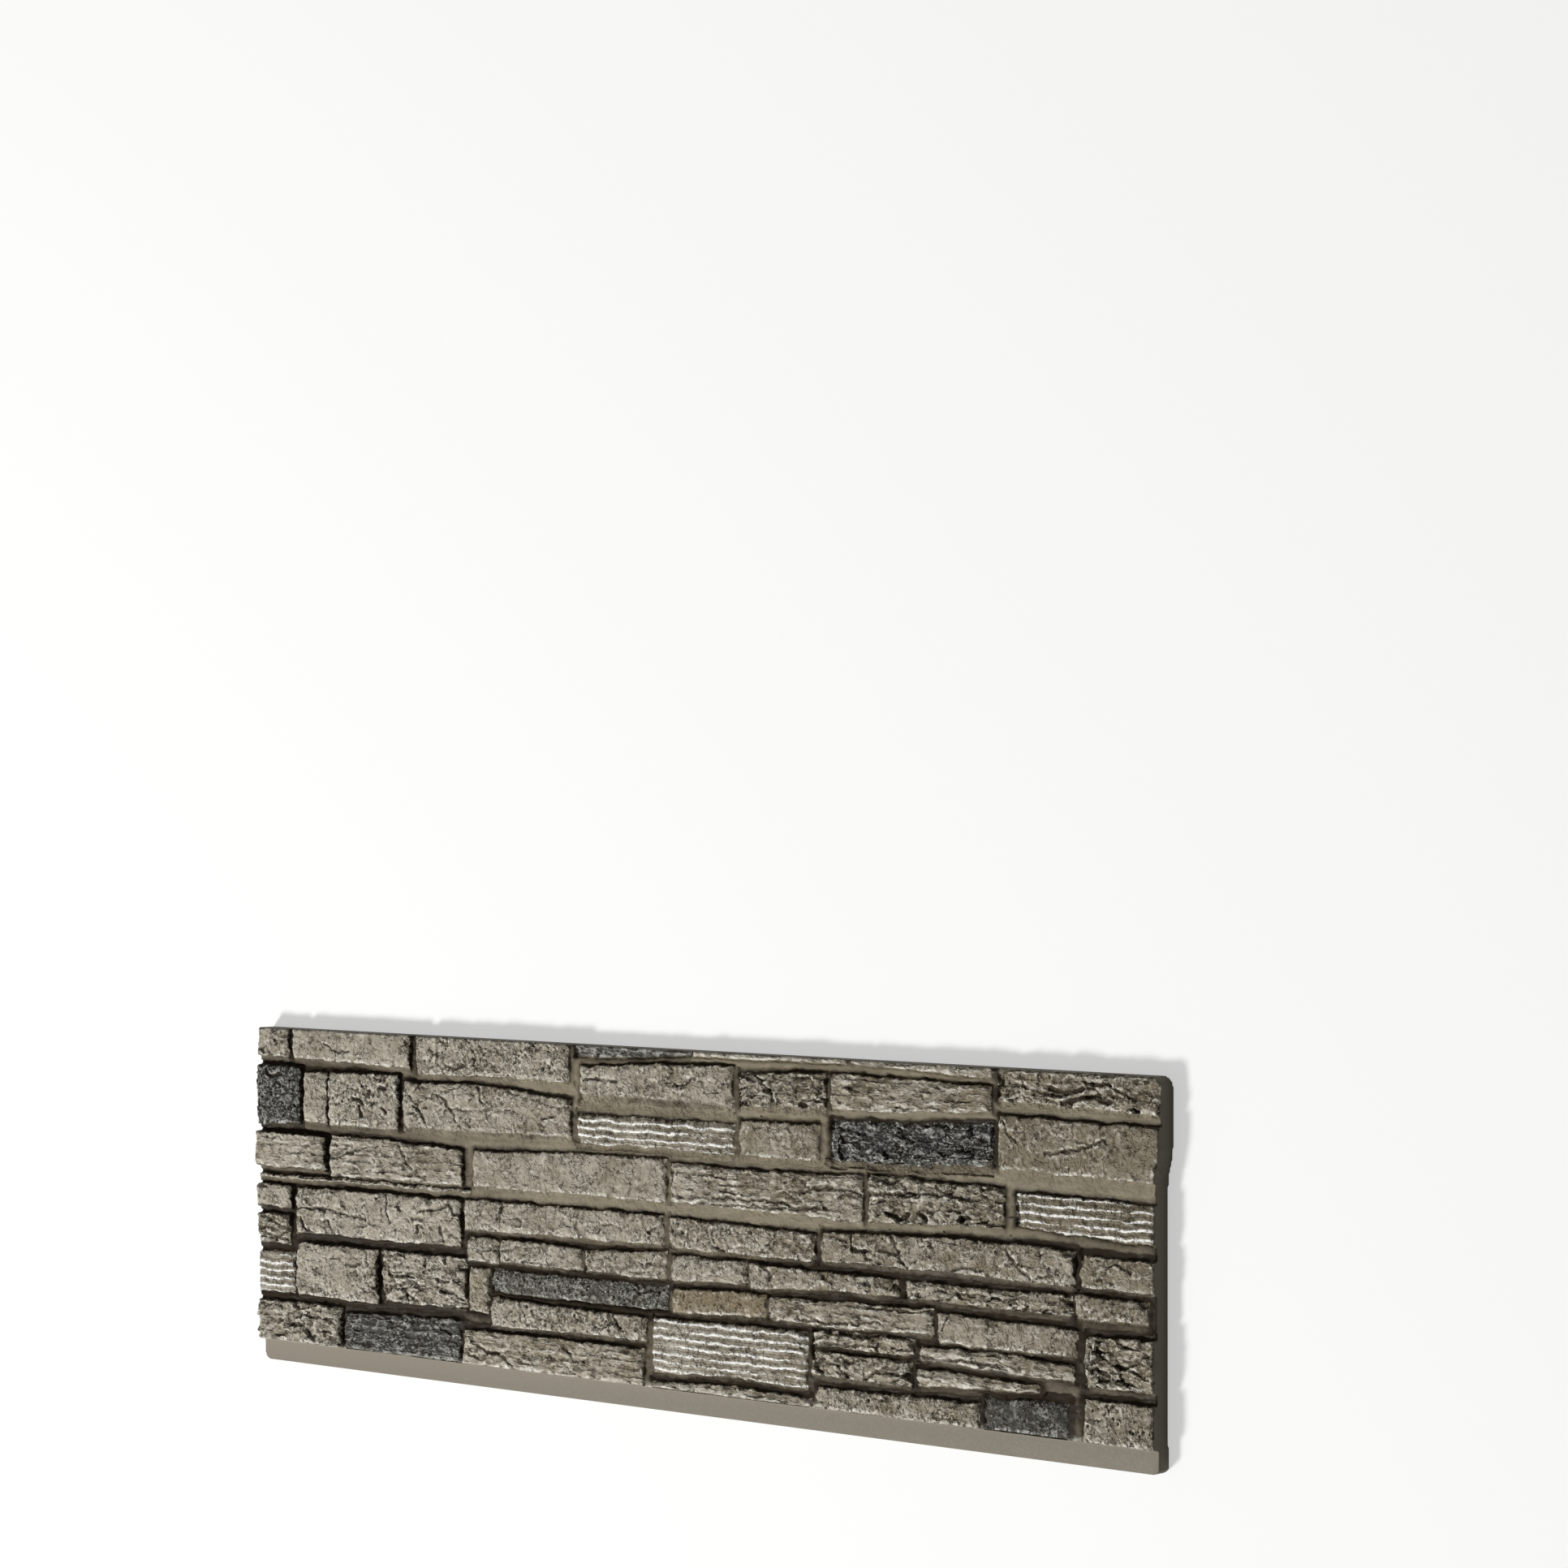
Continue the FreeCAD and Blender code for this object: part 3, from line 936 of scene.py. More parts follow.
    def _joints(self) -> bpy.types.Node:
        """Shapes the joints: smeared, rising to the stone above, and fuller towards the right.

        Returns:
            The node with the height to add, mm.
        """
        tree = self.tree
        low = add(tree, MATH, {0: 1.0, 1: self.stand}, operation="SUBTRACT")
        smear = add(tree, VECTOR, {0: self.flat, 1: self.given["Smear"]}, operation="DIVIDE")
        smear = add(tree, NOISE, {"Vector": smear, "Scale": 1.0, "Detail": 3.0})
        smear = add(tree, MATH, {0: smear, 1: 0.5}, operation="SUBTRACT")
        upright = add(tree, MATH, {0: self.toward["X"]}, operation="ABSOLUTE")
        upright = add(tree, RANGE, {0: upright, 1: 0.3, 2: 0.8, 3: 0.5, 4: 1.0})
        along = add(tree, RANGE, {0: self.place["X"], 1: -330.0, 2: -120.0})
        raised = total(
            tree,
            (smear, self.given["Smear Height"]),
            (self.toward["Y"], self.given["Ledge Height"]),
            (along, upright, self.given["Joint Fill"]),
        )
        return total(tree, (raised, low))

    def _wander(self) -> None:
        """Lets each point stray sideways, so that the stones' outlines aren't straight."""
        tree = self.tree
        swayed = None
        for length, share in ((24.0, 1.0), (6.0, 0.6)):
            where = add(tree, VECTOR, {0: self.flat, "Scale": 1 / length}, operation="SCALE")
            sway = add(tree, VECTOR, {0: self._sway(where, 2.0), 1: (2 * share, 2 * share, 0.0)},
                       operation="MULTIPLY")
            swayed = sway if swayed is None else add(tree, VECTOR, {0: swayed, 1: sway})
        reach = total(tree, (self.inner, self.above, self.given["Edge Wander"]))
        swayed = add(tree, VECTOR, {0: swayed, "Scale": reach}, operation="SCALE")
        self.wandered = add(tree, VECTOR, {0: self.flat, 1: swayed})
        self.worn_place = add(tree, APART, {0: self.wandered}).outputs

    def _moved(self, relief: bpy.types.Node, joints: bpy.types.Node) -> bpy.types.Node:
        """Works out each point's new place.

        Args:
            relief: The height to add on the stones, mm.
            joints: The height to add in the joints, mm.

        Returns:
            The node with the place, metres.
        """
        tree = self.tree
        lift = total(tree, relief, joints)
        height = total(tree, self.place["Z"], (lift, self.above))
        height = add(tree, MATH, {0: height, 1: self.given["Highest"], 2: self.given["Leveling"]},
                     operation="SMOOTH_MIN")
        height = add(tree, MIX, {"Factor": self.above, "A": self.place["Z"], "B": height},
                     data_type="FLOAT")
        moved = add(tree, VECTOR, {0: self.wandered, 1: add(tree, TOGETHER, {2: height})})
        return add(tree, VECTOR, {0: moved, "Scale": MM}, operation="SCALE")

    def _shade(self) -> bpy.types.Node:
        """How dark the mortar is painted, mostly as painted shadow.

        It darkens towards the stone below it, as painted shadow cast by that stone, and in
        upright joints as painted shade, which is lighter on the left. From the middle of the panel
        down, and further up at the right end, the whole joint is darker and the shade reaches
        further from the stones.

        Returns:
            The node with the shade, from 0 for none to 1 and more where it is full.
        """
        tree = self.tree
        upright, level = (
            add(tree, MATH, {0: self.toward[axis]}, operation="ABSOLUTE") for axis in ("X", "Y")
        )
        down = add(tree, MATH, {0: self.toward["Y"], 1: -1.0}, operation="MULTIPLY", use_clamp=True)
        upright_share = add(tree, RANGE, {0: self.place["X"], 1: 60.0, 2: 400.0, 3: 0.58, 4: 1.0})
        sooner = add(tree, RANGE, {0: self.place["X"], 1: 100.0, 2: 480.0, 3: 0.0, 4: -38.0})
        sloping = total(tree, self.place["Y"], sooner)
        lowest = add(tree, RANGE, {0: sloping, 1: 5.0, 2: -25.0, 3: 0.0, 4: 0.6})
        shade = total(tree, (upright, upright_share), down, (level, lowest))
        reach = total(tree, (lowest, 12.0), 6.5)
        close = add(tree, RANGE, {0: self.off_stone, 1: 1.5, 2: reach, 3: 1.0, 4: 0.0})
        return add(tree, "GeometryNodeBlurAttribute",
                   {"Value": total(tree, (shade, close)), "Iterations": 5}, data_type="FLOAT")

    def _finish(self, relief: bpy.types.Node, joints: bpy.types.Node) -> None:
        """Moves the points, keeps what the paint needs, and ends the tree.

        Args:
            relief: The height to add on the stones, mm.
            joints: The height to add in the joints, mm.
        """
        tree = self.tree
        normal = add(tree, APART, {0: add(tree, "GeometryNodeInputNormal")})
        faced = add(tree, MATH, {0: normal.outputs["Z"], 1: 0.35}, operation="GREATER_THAN")
        faced = add(tree, MATH, {0: faced, 1: self.inner}, operation="MAXIMUM")
        kept = {
            "stand": self.stand,
            "hollow": self.hollows,
            "veined": self.wear["Z"],
            "coarse": self.chip,
            "foot": self.foot,
            "lower": self.lower,
            "painted": total(tree, (faced, self.above)),
            "shaded": self._shade(),
            "layered": self.shape["Z"],
            "inside": self.inside,
            "paint": self.paint,
        }
        mesh = self.given["Geometry"]
        for name, value in kept.items():
            mesh = add(tree, "GeometryNodeStoreNamedAttribute",
                       {"Geometry": mesh, "Name": name, "Value": value},
                       data_type="FLOAT_VECTOR" if name == "paint" else "FLOAT", domain="POINT")
        moved = self._moved(relief, joints)
        mesh = add(tree, "GeometryNodeSetPosition", {"Geometry": mesh, "Position": moved})

        # How far each point lies below the mean of its surroundings, near and wide
        now = add(tree, APART, {0: add(tree, "GeometryNodeInputPosition")}).outputs["Z"]
        for name, rounds in (("sunk", 4), ("dip", 22)):
            around = add(tree, "GeometryNodeBlurAttribute", {"Value": now, "Iterations": rounds},
                         data_type="FLOAT")
            depth = add(tree, MATH, {0: around, 1: now}, operation="SUBTRACT")
            mesh = add(tree, "GeometryNodeStoreNamedAttribute",
                       {"Geometry": mesh, "Name": name, "Value": total(tree, (depth, 1 / MM))},
                       data_type="FLOAT", domain="POINT")
        mesh = add(tree, "GeometryNodeRealizeInstances", {0: mesh})
        mesh = add(tree, "GeometryNodeSetMaterial", {"Geometry": mesh, "Material": self.given["Material"]})
        add(tree, "NodeGroupOutput", {0: mesh})


def vein_bands(tree: bpy.types.NodeTree, x: Value, y: Value,
               spacing: float = 7.2) -> tuple[bpy.types.Node, bpy.types.Node]:
    """Wavering quartz bands along the panel, the same in the relief and in the paint.

    Args:
        tree: The geometry or material tree that they are needed in.
        x: Place along the panel, mm.
        y: Place up the panel, mm.
        spacing: Mean distance between bands, mm.

    Returns:
        The nodes with 1 on a band, and with 1 halfway between two bands.
    """
    place = add(tree, TOGETHER, {0: x, 1: y})
    noises = []
    for size in ((19.0, 60.0, 1.0), (60.0, 7.0, 1.0), (4.0, 2.0, 1.0)):
        run = add(tree, VECTOR, {0: place, 1: size}, operation="DIVIDE")
        noises.append(add(tree, NOISE, {"Vector": run, "Scale": 1.0, "Detail": 2.0}))
    sway, thick, torn = noises
    phase = add(tree, MATH, {0: y, 1: spacing}, operation="DIVIDE")
    for noise, share in ((sway, 0.9), (torn, 0.25)):
        phase = add(tree, MATH, {0: noise, 1: share, 2: phase}, operation="MULTIPLY_ADD")
    phase = add(tree, MATH, {0: phase, 1: 0.5}, operation="PINGPONG")
    least = add(tree, RANGE, {0: thick, 1: 0.36, 2: 0.5, 3: 0.47, 4: 0.32})
    over = add(tree, MATH, {0: phase, 1: least}, operation="SUBTRACT")
    band = add(tree, RANGE, {0: over, 1: 0.0, 2: 0.05})
    between = add(tree, RANGE, {0: phase, 1: 0.03, 2: 0.14, 3: 1.0, 4: 0.0})
    return band, between


@dataclass(frozen=True)
class PaintedFoam:
    """Rigid polyurethane foam with a moulded skin, sprayed and then dry-brushed.

    The spray leaves the joints and hollows dark brown, partly as painted shade, and the dry
    brush leaves the crests pale. Lower rims and small sharp glints are painted highlights,
    under a satin clear coat on a rough, mostly matt face.
    The lip, the ends and the back show the smooth skin as it left the mould.

    Attributes:
        name: The material's name.
        stone: Base coat of the stones.
        stone_light: Its lightest mottling.
        stone_dark: Its darkest mottling.
        ochre: Base coat of the ochre stones.
        charcoal: Base coat of the charcoal stones.
        charcoal_light: Flecks and crests on those, with their painted highlights.
        joint: Mortar in the light.
        joint_dark: Mortar under a stone's edge, and mortar in painted shadow.
        wash: Brown coat that settles in hollows, and painted shade there.
        crest: Dry brush on crests, and painted highlights on lower rims and in glints.
        quartz: Veins.
        plain: Bare skin.
        roughness: Mean roughness of the clear coat.
        mottle: Size of the broad mottling, mm.
        patch: Size of rugged and smooth patches, mm.
        flake: Size of flakes too thin for the mesh, mm.
        winding: Size of the windings of hairline cracks, mm.
        stipple: Size of the stippling, mm.
        grit: Size of single grains, mm.
        fine_depth: Depth of the relief that the mesh is too coarse for, mm.
        bare_depth: Share of it that the bare skin and the joints keep.
        flake_steps: How many steps those flakes have.
        shard_steps: How many steps the finer shards have.
        tint_share: How far a stone's tint moves its base coat.
        stone_stop: Where the base coat's own colour lies between its darkest and its lightest.
        charcoal_shade: How much darker the mortar is beside a charcoal stone.
        mortar_cover: How much of the dry brush, the painted highlights, the brown coat and the painted
            shade the mortar keeps off.
        between_wash: Wash between two veins.
        pore_wash: Brown coat and painted shade in pores.
        hairline_wash: Brown coat and painted shade in hairline cracks.
    """

    name: str = "painted_moulded_polyurethane"
    stone: str = "#9E9686"
    stone_light: str = "#B1AA9A"
    stone_dark: str = "#7F7663"
    ochre: str = "#7F7054"
    charcoal: str = "#282826"
    charcoal_light: str = "#B0AFA8"
    joint: str = "#877E6A"
    joint_dark: str = "#2A2217"
    wash: str = "#2C2418"
    crest: str = "#DCD8CC"
    quartz: str = "#F6F5F0"
    plain: str = "#867F72"
    roughness: float = 0.6
    mottle: float = 34.0
    patch: float = 15.0
    flake: float = 12.0
    winding: float = 9.0
    stipple: float = 4.2
    grit: float = 1.6
    fine_depth: float = 1.3
    bare_depth: float = 0.04
    flake_steps: float = 6.0
    shard_steps: float = 4.0
    tint_share: float = 0.4
    stone_stop: float = 0.45
    charcoal_shade: float = 0.35
    mortar_cover: float = 0.8
    between_wash: float = 0.5
    pore_wash: float = 0.65
    hairline_wash: float = 0.7

    def build(self) -> bpy.types.Material:
        """Makes the material.

        Returns:
            The material, whose patterns follow object coordinates and the face's attributes.
        """
        material = bpy.data.materials.new(self.name)
        material.use_nodes = True
        tree = material.node_tree
        tree.nodes.clear()
        known = self._patterns(tree)
        known.update(self._ramps(tree, known))
        depth = total(tree, (known["painted"], known["stand"], 1.0 - self.bare_depth), self.bare_depth)
        felt = add(tree, "ShaderNodeBump", {"Strength": depth, "Distance": self.fine_depth * MM,
                                            "Height": self._height(tree, known)})
        shader = add(tree, "ShaderNodeBsdfPrincipled",
                     {"Base Color": self._colour(tree, known), "Roughness": known["gloss"],
                      "Normal": felt, "IOR": 1.45, "Specular IOR Level": 0.12})
        add(tree, "ShaderNodeOutputMaterial", {0: shader})
        return material

    def _patterns(self, tree: bpy.types.NodeTree) -> dict[str, Value]:
        """Reads the face's attributes and adds the noises that follow the place on it.

        Args:
            tree: The material's tree.

        Returns:
            Names to values.
        """
        place = add(tree, "ShaderNodeTexCoord")
        at = add(tree, VECTOR, {0: place.outputs["Object"], "Scale": 1 / MM}, operation="SCALE")
        known = {
            name: add(tree, "ShaderNodeAttribute", attribute_name=name).outputs["Fac"]
            for name in ("stand", "hollow", "veined", "painted", "shaded", "inside", "coarse", "foot",
                         "lower", "layered", "sunk", "dip")
        }
        known["x"], known["y"], _ = add(tree, APART, {0: at}).outputs
        paint = add(tree, "ShaderNodeAttribute", attribute_name="paint").outputs["Vector"]
        known["tint"], known["charcoal"], known["ochre"] = add(tree, APART, {0: paint}).outputs

        # Fine patterns are drawn out along the beds of layered stones
        drawn = add(tree, RANGE, {0: known["layered"], 1: 0.4, 2: 1.4, 3: 1.0, 4: 0.4})
        drawn = add(tree, TOGETHER, {0: drawn, 1: 1.0, 2: 1.0})
        drawn = add(tree, VECTOR, {0: at, 1: drawn}, operation="MULTIPLY")
        noises = {
            "mottle": (at, self.mottle, 0.0), "patch": (at, self.patch, 0.4),
            "flake": (drawn, self.flake, 0.3), "curl": (drawn, self.winding, 0.9),
            "stipple": (drawn, self.stipple, 0.2), "grit": (drawn, self.grit, 0.0),
        }
        for name, (where, size, twist) in noises.items():
            known[name] = add(tree, NOISE, {"Vector": where, "Scale": 1 / size, "Detail": 3.0,
                                            "Roughness": NOISE_ROUGHNESS, "Distortion": twist})

        # The edge between stone and mortar is torn by stipple and grit
        known["torn"] = total(tree, known["inside"], (known["stipple"], 5.0), (known["grit"], 2.0), -3.5)
        bend = add(tree, MATH, {0: known["curl"], 1: 0.5}, operation="SUBTRACT")
        known["bend"] = add(tree, MATH, {0: bend}, operation="ABSOLUTE")
        return known

    def _ramps(self, tree: bpy.types.NodeTree, known: dict[str, Value]) -> dict[str, Value]:
        """Turns the patterns into masks and shares.

        Args:
            tree: The material's tree.
            known: The patterns by name.

        Returns:
            Names to masks. Each goes from one value to another as its pattern does.
        """
        ramps = {
            "rugged": ("patch", 0.4, 0.58, 0.15, 1.0),
            "coarseness": ("coarse", 0.4, 1.1, 0.3, 1.15),
            "pored": ("stipple", 0.43, 0.39, 0.0, 1.0),
            "hairline": ("bend", 0.0, 0.022, 1.0, 0.0),
            "cracked": ("patch", 0.5, 0.62, 0.0, 1.0),
            "mottled": ("mottle", 0.3, 0.72, 0.06, 0.94),
            # The base coat darkens towards the right end as painted shade
            "away": ("x", -200.0, 500.0, 0.0, -0.45),
            "dotted": ("stipple", 0.36, 0.64, -0.03, 0.03),
            "grains": ("grit", 0.52, 0.57, 0.0, 1.0),
            "fleck_patches": ("patch", 0.4, 0.56, 0.1, 1.0),
            "fleck_share": ("coarse", 0.4, 0.9, 0.4, 1.0),
            "crests": ("stipple", 0.57, 0.6, 0.0, 0.14),
            # Glints and lower rims are painted highlights
            "glints": ("grit", 0.63, 0.67, 0.0, 0.8),
            "rim": ("inside", 4.0, 0.8, 0.0, 0.6),
            "rim_torn": ("stipple", 0.4, 0.54, 0.0, 1.0),
            "rim_patches": ("patch", 0.42, 0.56, 0.0, 1.0),
            "brink": ("hollow", 0.03, 0.25, 0.0, 0.5),
            "beside": ("hollow", 0.7, 0.3, 0.0, 1.0),
            "brink_torn": ("stipple", 0.44, 0.56, 0.0, 1.0),
            "proud": ("sunk", -0.1, -0.3, 0.0, 0.4),
            "proud_torn": ("stipple", 0.45, 0.55, 0.2, 1.0),
            "vein_share": ("veined", 0.3, 0.6, 0.0, 1.0),
            "vein_torn": ("stipple", 0.34, 0.48, 0.5, 1.0),
            "joint": ("torn", -1.3, -0.5, 1.0, 0.0),
            "above_lip": ("y", -138.5, -134.5, 0.0, 1.0),
            "shade": ("shaded", 0.05, 0.85, 0.0, 1.0),
            "core": ("inside", -0.4, -2.4, 0.8, 1.15),
            "shade_mottled": ("mottle", 0.35, 0.65, 0.15, -0.15),
            "shade_left": ("x", -150.0, -400.0, 0.0, 0.55),
            "shade_dotted": ("stipple", 0.35, 0.65, 0.08, -0.08),
            # Darkening in recesses, partly a brown coat and partly painted shade
            "narrow": ("sunk", 0.12, 0.42, 0.0, 0.72),
            "within": ("inside", 0.3, 2.8, 0.25, 1.0),
            "wide": ("dip", 0.8, 3.4, 0.0, 0.5),
            "scored": ("hollow", 0.5, 1.4, 0.0, 0.85),
            "gloss": ("grit", 0.35, 0.65, self.roughness - 0.12, self.roughness + 0.12),
        }
        return {
            name: add(tree, RANGE, {0: known[source], 1: start, 2: end, 3: low, 4: high})
            for name, (source, start, end, low, high) in ramps.items()
        }

    def _colour(self, tree: bpy.types.NodeTree, known: dict[str, Value]) -> bpy.types.Node:
        """Lays the coats of paint one over another.

        Args:
            tree: The material's tree.
            known: The patterns and masks by name.

        Returns:
            The node with the colour.
        """
        # The base coat is mottled over a few centimetres, each stone has its tint, and the coat darkens
        # towards the right end as painted shade
        shade = total(tree, known["mottled"], known["away"], (known["tint"], self.tint_share),
                      known["dotted"])
        base = add(tree, "ShaderNodeValToRGB", {0: shade})
        base.color_ramp.elements[0].color = linear(self.stone_dark)
        base.color_ramp.elements[1].color = linear(self.stone_light)
        base.color_ramp.elements.new(self.stone_stop).color = linear(self.stone)

        # Charcoal stones are flecked, and their crests are less pale than the others'
        flecks = total(tree, (known["grains"], known["fleck_patches"], known["fleck_share"]))
        slate = add(tree, MIX, {"Factor": flecks, "A": linear(self.charcoal),
                                "B": linear(self.charcoal_light)}, data_type="RGBA")
        pale = add(tree, MIX, {"Factor": known["charcoal"], "A": linear(self.crest),
                               "B": linear(self.charcoal_light)}, data_type="RGBA")

        # Mortar is darkened by painted shadow where the relief tree marks it shaded, and is darker at the
        # left end and beside charcoal stones
        deep = total(tree, (known["shade"], known["core"]), known["shade_mottled"],
                     (known["shade_left"], known["core"]), known["shade_dotted"],
                     (known["charcoal"], self.charcoal_shade))
        mortar = add(tree, MIX, {"Factor": add(tree, "ShaderNodeClamp", {0: deep}),
                                 "A": linear(self.joint), "B": linear(self.joint_dark)},
                     data_type="RGBA")
        low = add(tree, MATH, {0: known["joint"], 1: known["foot"]}, operation="MAXIMUM")
        low = total(tree, (low, known["above_lip"]))
        washed_and_shaded = total(tree, (known["within"], known["painted"], known["above_lip"]))

        # The pale coat is dry brush on crests, proud spots and the brinks of cracks, and painted highlight
        # on the lower rims, which face the light, and in glints; little of it meets mortar
        brushed = total(
            tree,
            (known["crests"], known["rugged"]),
            (known["glints"], known["cracked"]),
            (known["rim"], known["lower"], known["rim_torn"], known["rim_patches"]),
            (known["brink"], known["beside"], known["brink_torn"]),
            (known["proud"], known["proud_torn"]),
        )
        off_mortar = total(tree, 1.0, (low, -self.mortar_cover))
        bands, between = vein_bands(tree, known["x"], known["y"])
        wash = linear(self.wash)
        coats = (
            (linear(self.ochre), (known["ochre"],)),
            (slate, (known["charcoal"],)),
            (pale, (brushed, off_mortar)),
            (linear(self.quartz), (bands, known["vein_share"], known["vein_torn"])),
            (wash, (between, known["vein_share"], self.between_wash)),
            (mortar, (low,)),
            # Pores, hairlines, hollows and dips get the brown coat, partly as painted shade in recesses
            (wash, (known["pored"], known["rugged"], self.pore_wash, known["painted"], off_mortar)),
            (wash, (known["hairline"], known["cracked"], self.hairline_wash, known["painted"],
                    off_mortar)),
            (wash, (known["narrow"], washed_and_shaded, off_mortar)),
            (wash, (known["wide"], washed_and_shaded, off_mortar)),
            (wash, (known["scored"], known["painted"], off_mortar)),
            (linear(self.plain), (total(tree, 1.0, (known["painted"], -1.0)),)),
        )
        colour = base
        for coat, shares in coats:
            colour = add(tree, MIX, {"Factor": total(tree, shares), "A": colour, "B": coat},
                         data_type="RGBA")
        return colour

    def _height(self, tree: bpy.types.NodeTree, known: dict[str, Value]) -> bpy.types.Node:
        """Adds up the small relief that the mesh is too coarse for.

        Args:
            tree: The material's tree.
            known: The patterns and masks by name.

        Returns:
            The node with the height, of which 1 is the fine depth.
        """
        flakes = treads(tree, total(tree, (known["flake"], self.flake_steps)))
        shards = treads(tree, total(tree, (known["stipple"], self.shard_steps)))
        rugged = total(tree, (known["rugged"], known["coarseness"]))
        return total(
            tree,
            (flakes, 0.48),
            (shards, rugged, 0.34), (shards, 0.08),
            (known["stipple"], rugged, 0.3), (known["stipple"], 0.08),
            (known["grit"], rugged, 0.32), (known["grit"], 0.09),
            (known["pored"], rugged, -0.6),
            (known["hairline"], known["cracked"], -0.6),
        )


@dataclass
class WallPanel:
    """The moulded panel: the frame's solid, remeshed finely and worked.

    Attributes:
        grain: Edge length of the fine mesh, metres.
        most_triangles: The most triangles that the finished piece may have.
        sharp: Angle between two facets from which their edge is shaded sharp, degrees.
    """

    grain: float = 1.2 * MM
    rough_grain: float = 1.5 * MM
    most_triangles: int = 192_000
    sharp: float = 50.0

    def build(self) -> bpy.types.Object:
        """Makes the panel's mesh.

        Returns:
            The finished piece.
        """
        patterns = {
            "Stones": StoneFaces().build(),
            "Cracks": Scores("cracks", CRACKS).build(),
            "Hollows": Scores("hollows", HOLLOWS).build(),
        }
        solid, shell = joined_copy()
        shell.to_mesh(solid)
        shell.free()
        solid.materials.clear()
        body = bpy.data.objects.new("body_pattern", solid)
        helpers = (body, *patterns.values())
        for helper in helpers:
            bpy.context.collection.objects.link(helper)
        self._work(body, patterns)
        share = self.most_triangles / self.triangles(self._evaluated(body))
        thinned = body.modifiers.new("thinned", "DECIMATE")
        thinned.ratio = min(1.0, share)
        mesh = self._evaluated(body)
        for helper in helpers:
            bpy.data.objects.remove(helper)

        # Nothing stands out of the solid's box
        low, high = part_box(NODE)
        for vertex in mesh.vertices:
            vertex.co = [min(max(vertex.co[axis], low[axis]), high[axis]) for axis in range(3)]
        mesh.name = "moulded_panel"
        mesh.shade_smooth()
        mesh.set_sharp_from_angle(angle=math.radians(self.sharp))
        panel = bpy.data.objects.new("moulded_panel", mesh)
        bpy.context.collection.objects.link(panel)
        return panel

    def _work(self, body: bpy.types.Object, patterns: dict[str, bpy.types.Object]) -> None:
        """Gives the solid its fine mesh and its worked faces, as modifiers.

        Args:
            body: The solid.
            patterns: The tree's inputs by name to the objects that it reads.
        """
        fine = body.modifiers.new("fine", "REMESH")
        fine.mode = "VOXEL"
        fine.voxel_size = self.grain
        worked = body.modifiers.new("worked", "NODES")
        worked.node_group = ReliefTree().build()
        sockets = {item.name: item.identifier for item in worked.node_group.interface.items_tree
                   if item.in_out == "INPUT"}
        for name, pattern in patterns.items():
            worked[sockets[name]] = pattern
        worked[sockets["Material"]] = PaintedFoam().build()

    def _evaluated(self, source: bpy.types.Object) -> bpy.types.Mesh:
        """Turns an object with its modifiers into a plain mesh.

        Args:
            source: The object.

        Returns:
            A new mesh.
        """
        graph = bpy.context.evaluated_depsgraph_get()
        return bpy.data.meshes.new_from_object(source.evaluated_get(graph))

    def triangles(self, mesh: bpy.types.Mesh) -> int:
        """Counts a mesh's faces as triangles."""
        return sum(len(face.vertices) - 2 for face in mesh.polygons)

    def place(self) -> bpy.types.Object:
        """Builds the panel and puts it in the frame in place of the plain solid.

        Returns:
            The panel.
        """
        panel = self.build()
        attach(panel, "root")
        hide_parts(NODE)
        log.info("%s: %d triangles", panel.name, self.triangles(panel.data))
        return panel


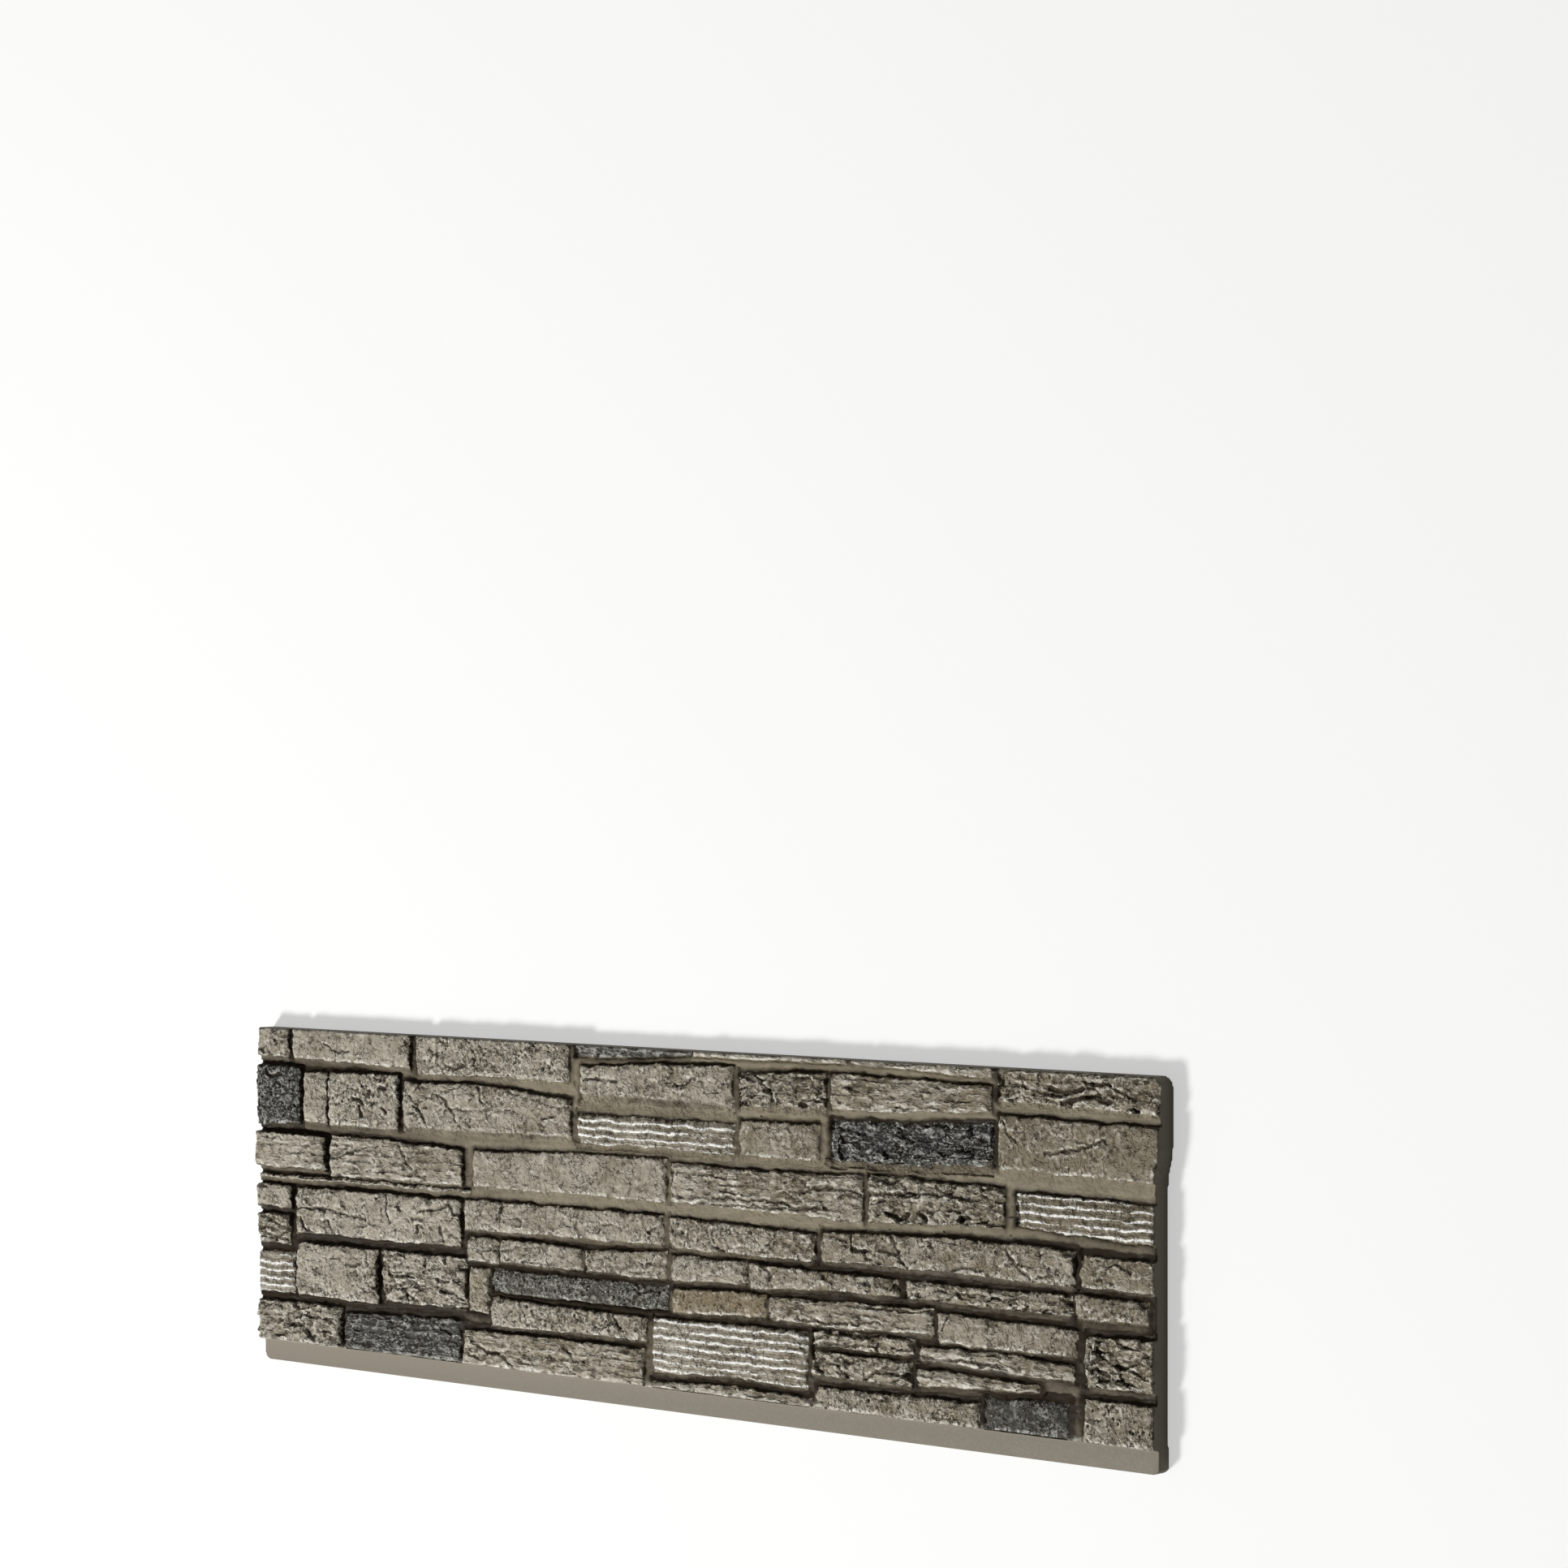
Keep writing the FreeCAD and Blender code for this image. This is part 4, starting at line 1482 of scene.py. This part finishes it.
@dataclass
class Studio:
    """A plain pale floor and soft light.

    Attributes:
        floor_half: Half the floor's side, metres.
        floor_colour: The floor's paint.
        floor_lift: How much whiter the floor shows to the camera than the light makes it.
        key_from: Direction that the key light comes from.
        key_distance: How far off it stands, metres.
        key_size: Its side, metres.
        key_level: How bright a white face under it is, of the plain level of 1.
        ambient: The same for the light from all round.
        ambient_left: How much of it comes from the left.
        ambient_right: How much of it comes from the right.
    """

    floor_half: float = 30.0
    floor_colour: str = "#BEBEBC"
    floor_lift: float = 0.5
    key_from: tuple[float, float, float] = (-0.62, -0.6, 0.8)
    key_distance: float = 9.0
    key_size: float = 1.75
    key_level: float = 0.76
    ambient: float = 0.2
    ambient_left: float = 1.6
    ambient_right: float = 0.4

    def build(self) -> None:
        """Makes the floor, the world and the key light."""
        self._floor()
        self._world()
        self._key()
        bpy.context.scene.view_settings.view_transform = "Standard"

    def _floor(self) -> None:
        """Makes a floor of matt paint, which camera and mirrored rays see as nearly white."""
        mesh = bpy.data.meshes.new("floor")
        half = self.floor_half
        corners = [(-half, -half, 0), (half, -half, 0), (half, half, 0), (-half, half, 0)]
        mesh.from_pydata(corners, [], [(0, 1, 2, 3)])
        floor = bpy.data.objects.new("floor", mesh)
        bpy.context.collection.objects.link(floor)
        material = bpy.data.materials.new("matt_floor_paint")
        material.use_nodes = True
        tree = material.node_tree
        shader = tree.nodes["Principled BSDF"].inputs
        shader["Base Color"].default_value = linear(self.floor_colour)
        shader["Roughness"].default_value = 0.9
        shader["Specular IOR Level"].default_value = 0.1
        shader["Emission Color"].default_value = WHITE
        path = add(tree, "ShaderNodeLightPath").outputs
        seen = path["Is Camera Ray"]
        for ray in ("Is Glossy Ray", "Is Transmission Ray"):
            seen = add(tree, MATH, {0: seen, 1: path[ray]}, operation="MAXIMUM")
        seen = total(tree, (seen, self.floor_lift))
        tree.links.new(seen.outputs[0], shader["Emission Strength"])
        mesh.materials.append(material)

    def _world(self) -> None:
        """Makes white light from all round, brighter from the left."""
        world = bpy.data.worlds.new("studio")
        world.use_nodes = True
        tree = world.node_tree
        sky = tree.nodes["Background"].inputs
        sky["Color"].default_value = WHITE
        way = add(tree, APART, {0: add(tree, "ShaderNodeTexCoord").outputs["Generated"]})
        level = add(tree, RANGE, {0: way.outputs["X"], 1: -0.8, 2: 0.8,
                                  3: self.ambient_left * self.ambient,
                                  4: self.ambient_right * self.ambient})
        tree.links.new(level.outputs[0], sky["Strength"])
        bpy.context.scene.world = world

    def _key(self) -> None:
        """Makes a square soft light at the upper left, towards the camera."""
        way = Vector(self.key_from).normalized()
        lamp = bpy.data.lights.new("key", "AREA")
        lamp.shape = "SQUARE"
        lamp.size = self.key_size
        lamp.energy = self.key_level * math.pi ** 2 * self.key_distance ** 2 / way.z
        key = bpy.data.objects.new("key", lamp)
        key.location = way * self.key_distance
        key.rotation_euler = way.to_track_quat("Z", "Y").to_euler()
        bpy.context.collection.objects.link(key)


@dataclass
class PhotoCamera:
    """The camera of the photograph, turned with the panel as the panel was laid down.

    Attributes:
        turn: Angle between the line of sight and the panel's face normal, degrees.
        sensor: Width of the frame that the focal length is given for, mm.
        lens: Focal length, mm.
        place: Where it stands, mm, in the panel's frame.
    """

    turn: float = 41.93
    sensor: float = 36.0
    lens: float = 100.62
    place: tuple[float, float, float] = (2661.5, 394.6, 2827.5)

    def build(self) -> None:
        """Makes the camera and gives it to the scene."""
        camera = bpy.data.cameras.new("camera")
        camera.sensor_width = self.sensor
        camera.lens = self.lens
        holder = bpy.data.objects.new("camera", camera)
        angle = math.radians(self.turn)
        right = (math.cos(angle), 0.0, -math.sin(angle))
        back = (math.sin(angle), 0.0, math.cos(angle))
        axes = Matrix((right, (0.0, 1.0, 0.0), back)).transposed().to_4x4()
        holder.matrix_world = Matrix.Translation(Vector(self.place) * MM) @ axes
        bpy.context.collection.objects.link(holder)
        bpy.context.scene.camera = holder


def main() -> None:
    """Builds the panel, the studio and the camera."""
    logging.basicConfig(level=logging.INFO, format="%(name)s: %(message)s")
    WallPanel().place()
    Studio().build()
    PhotoCamera().build()


if __name__ == "__main__":
    main()
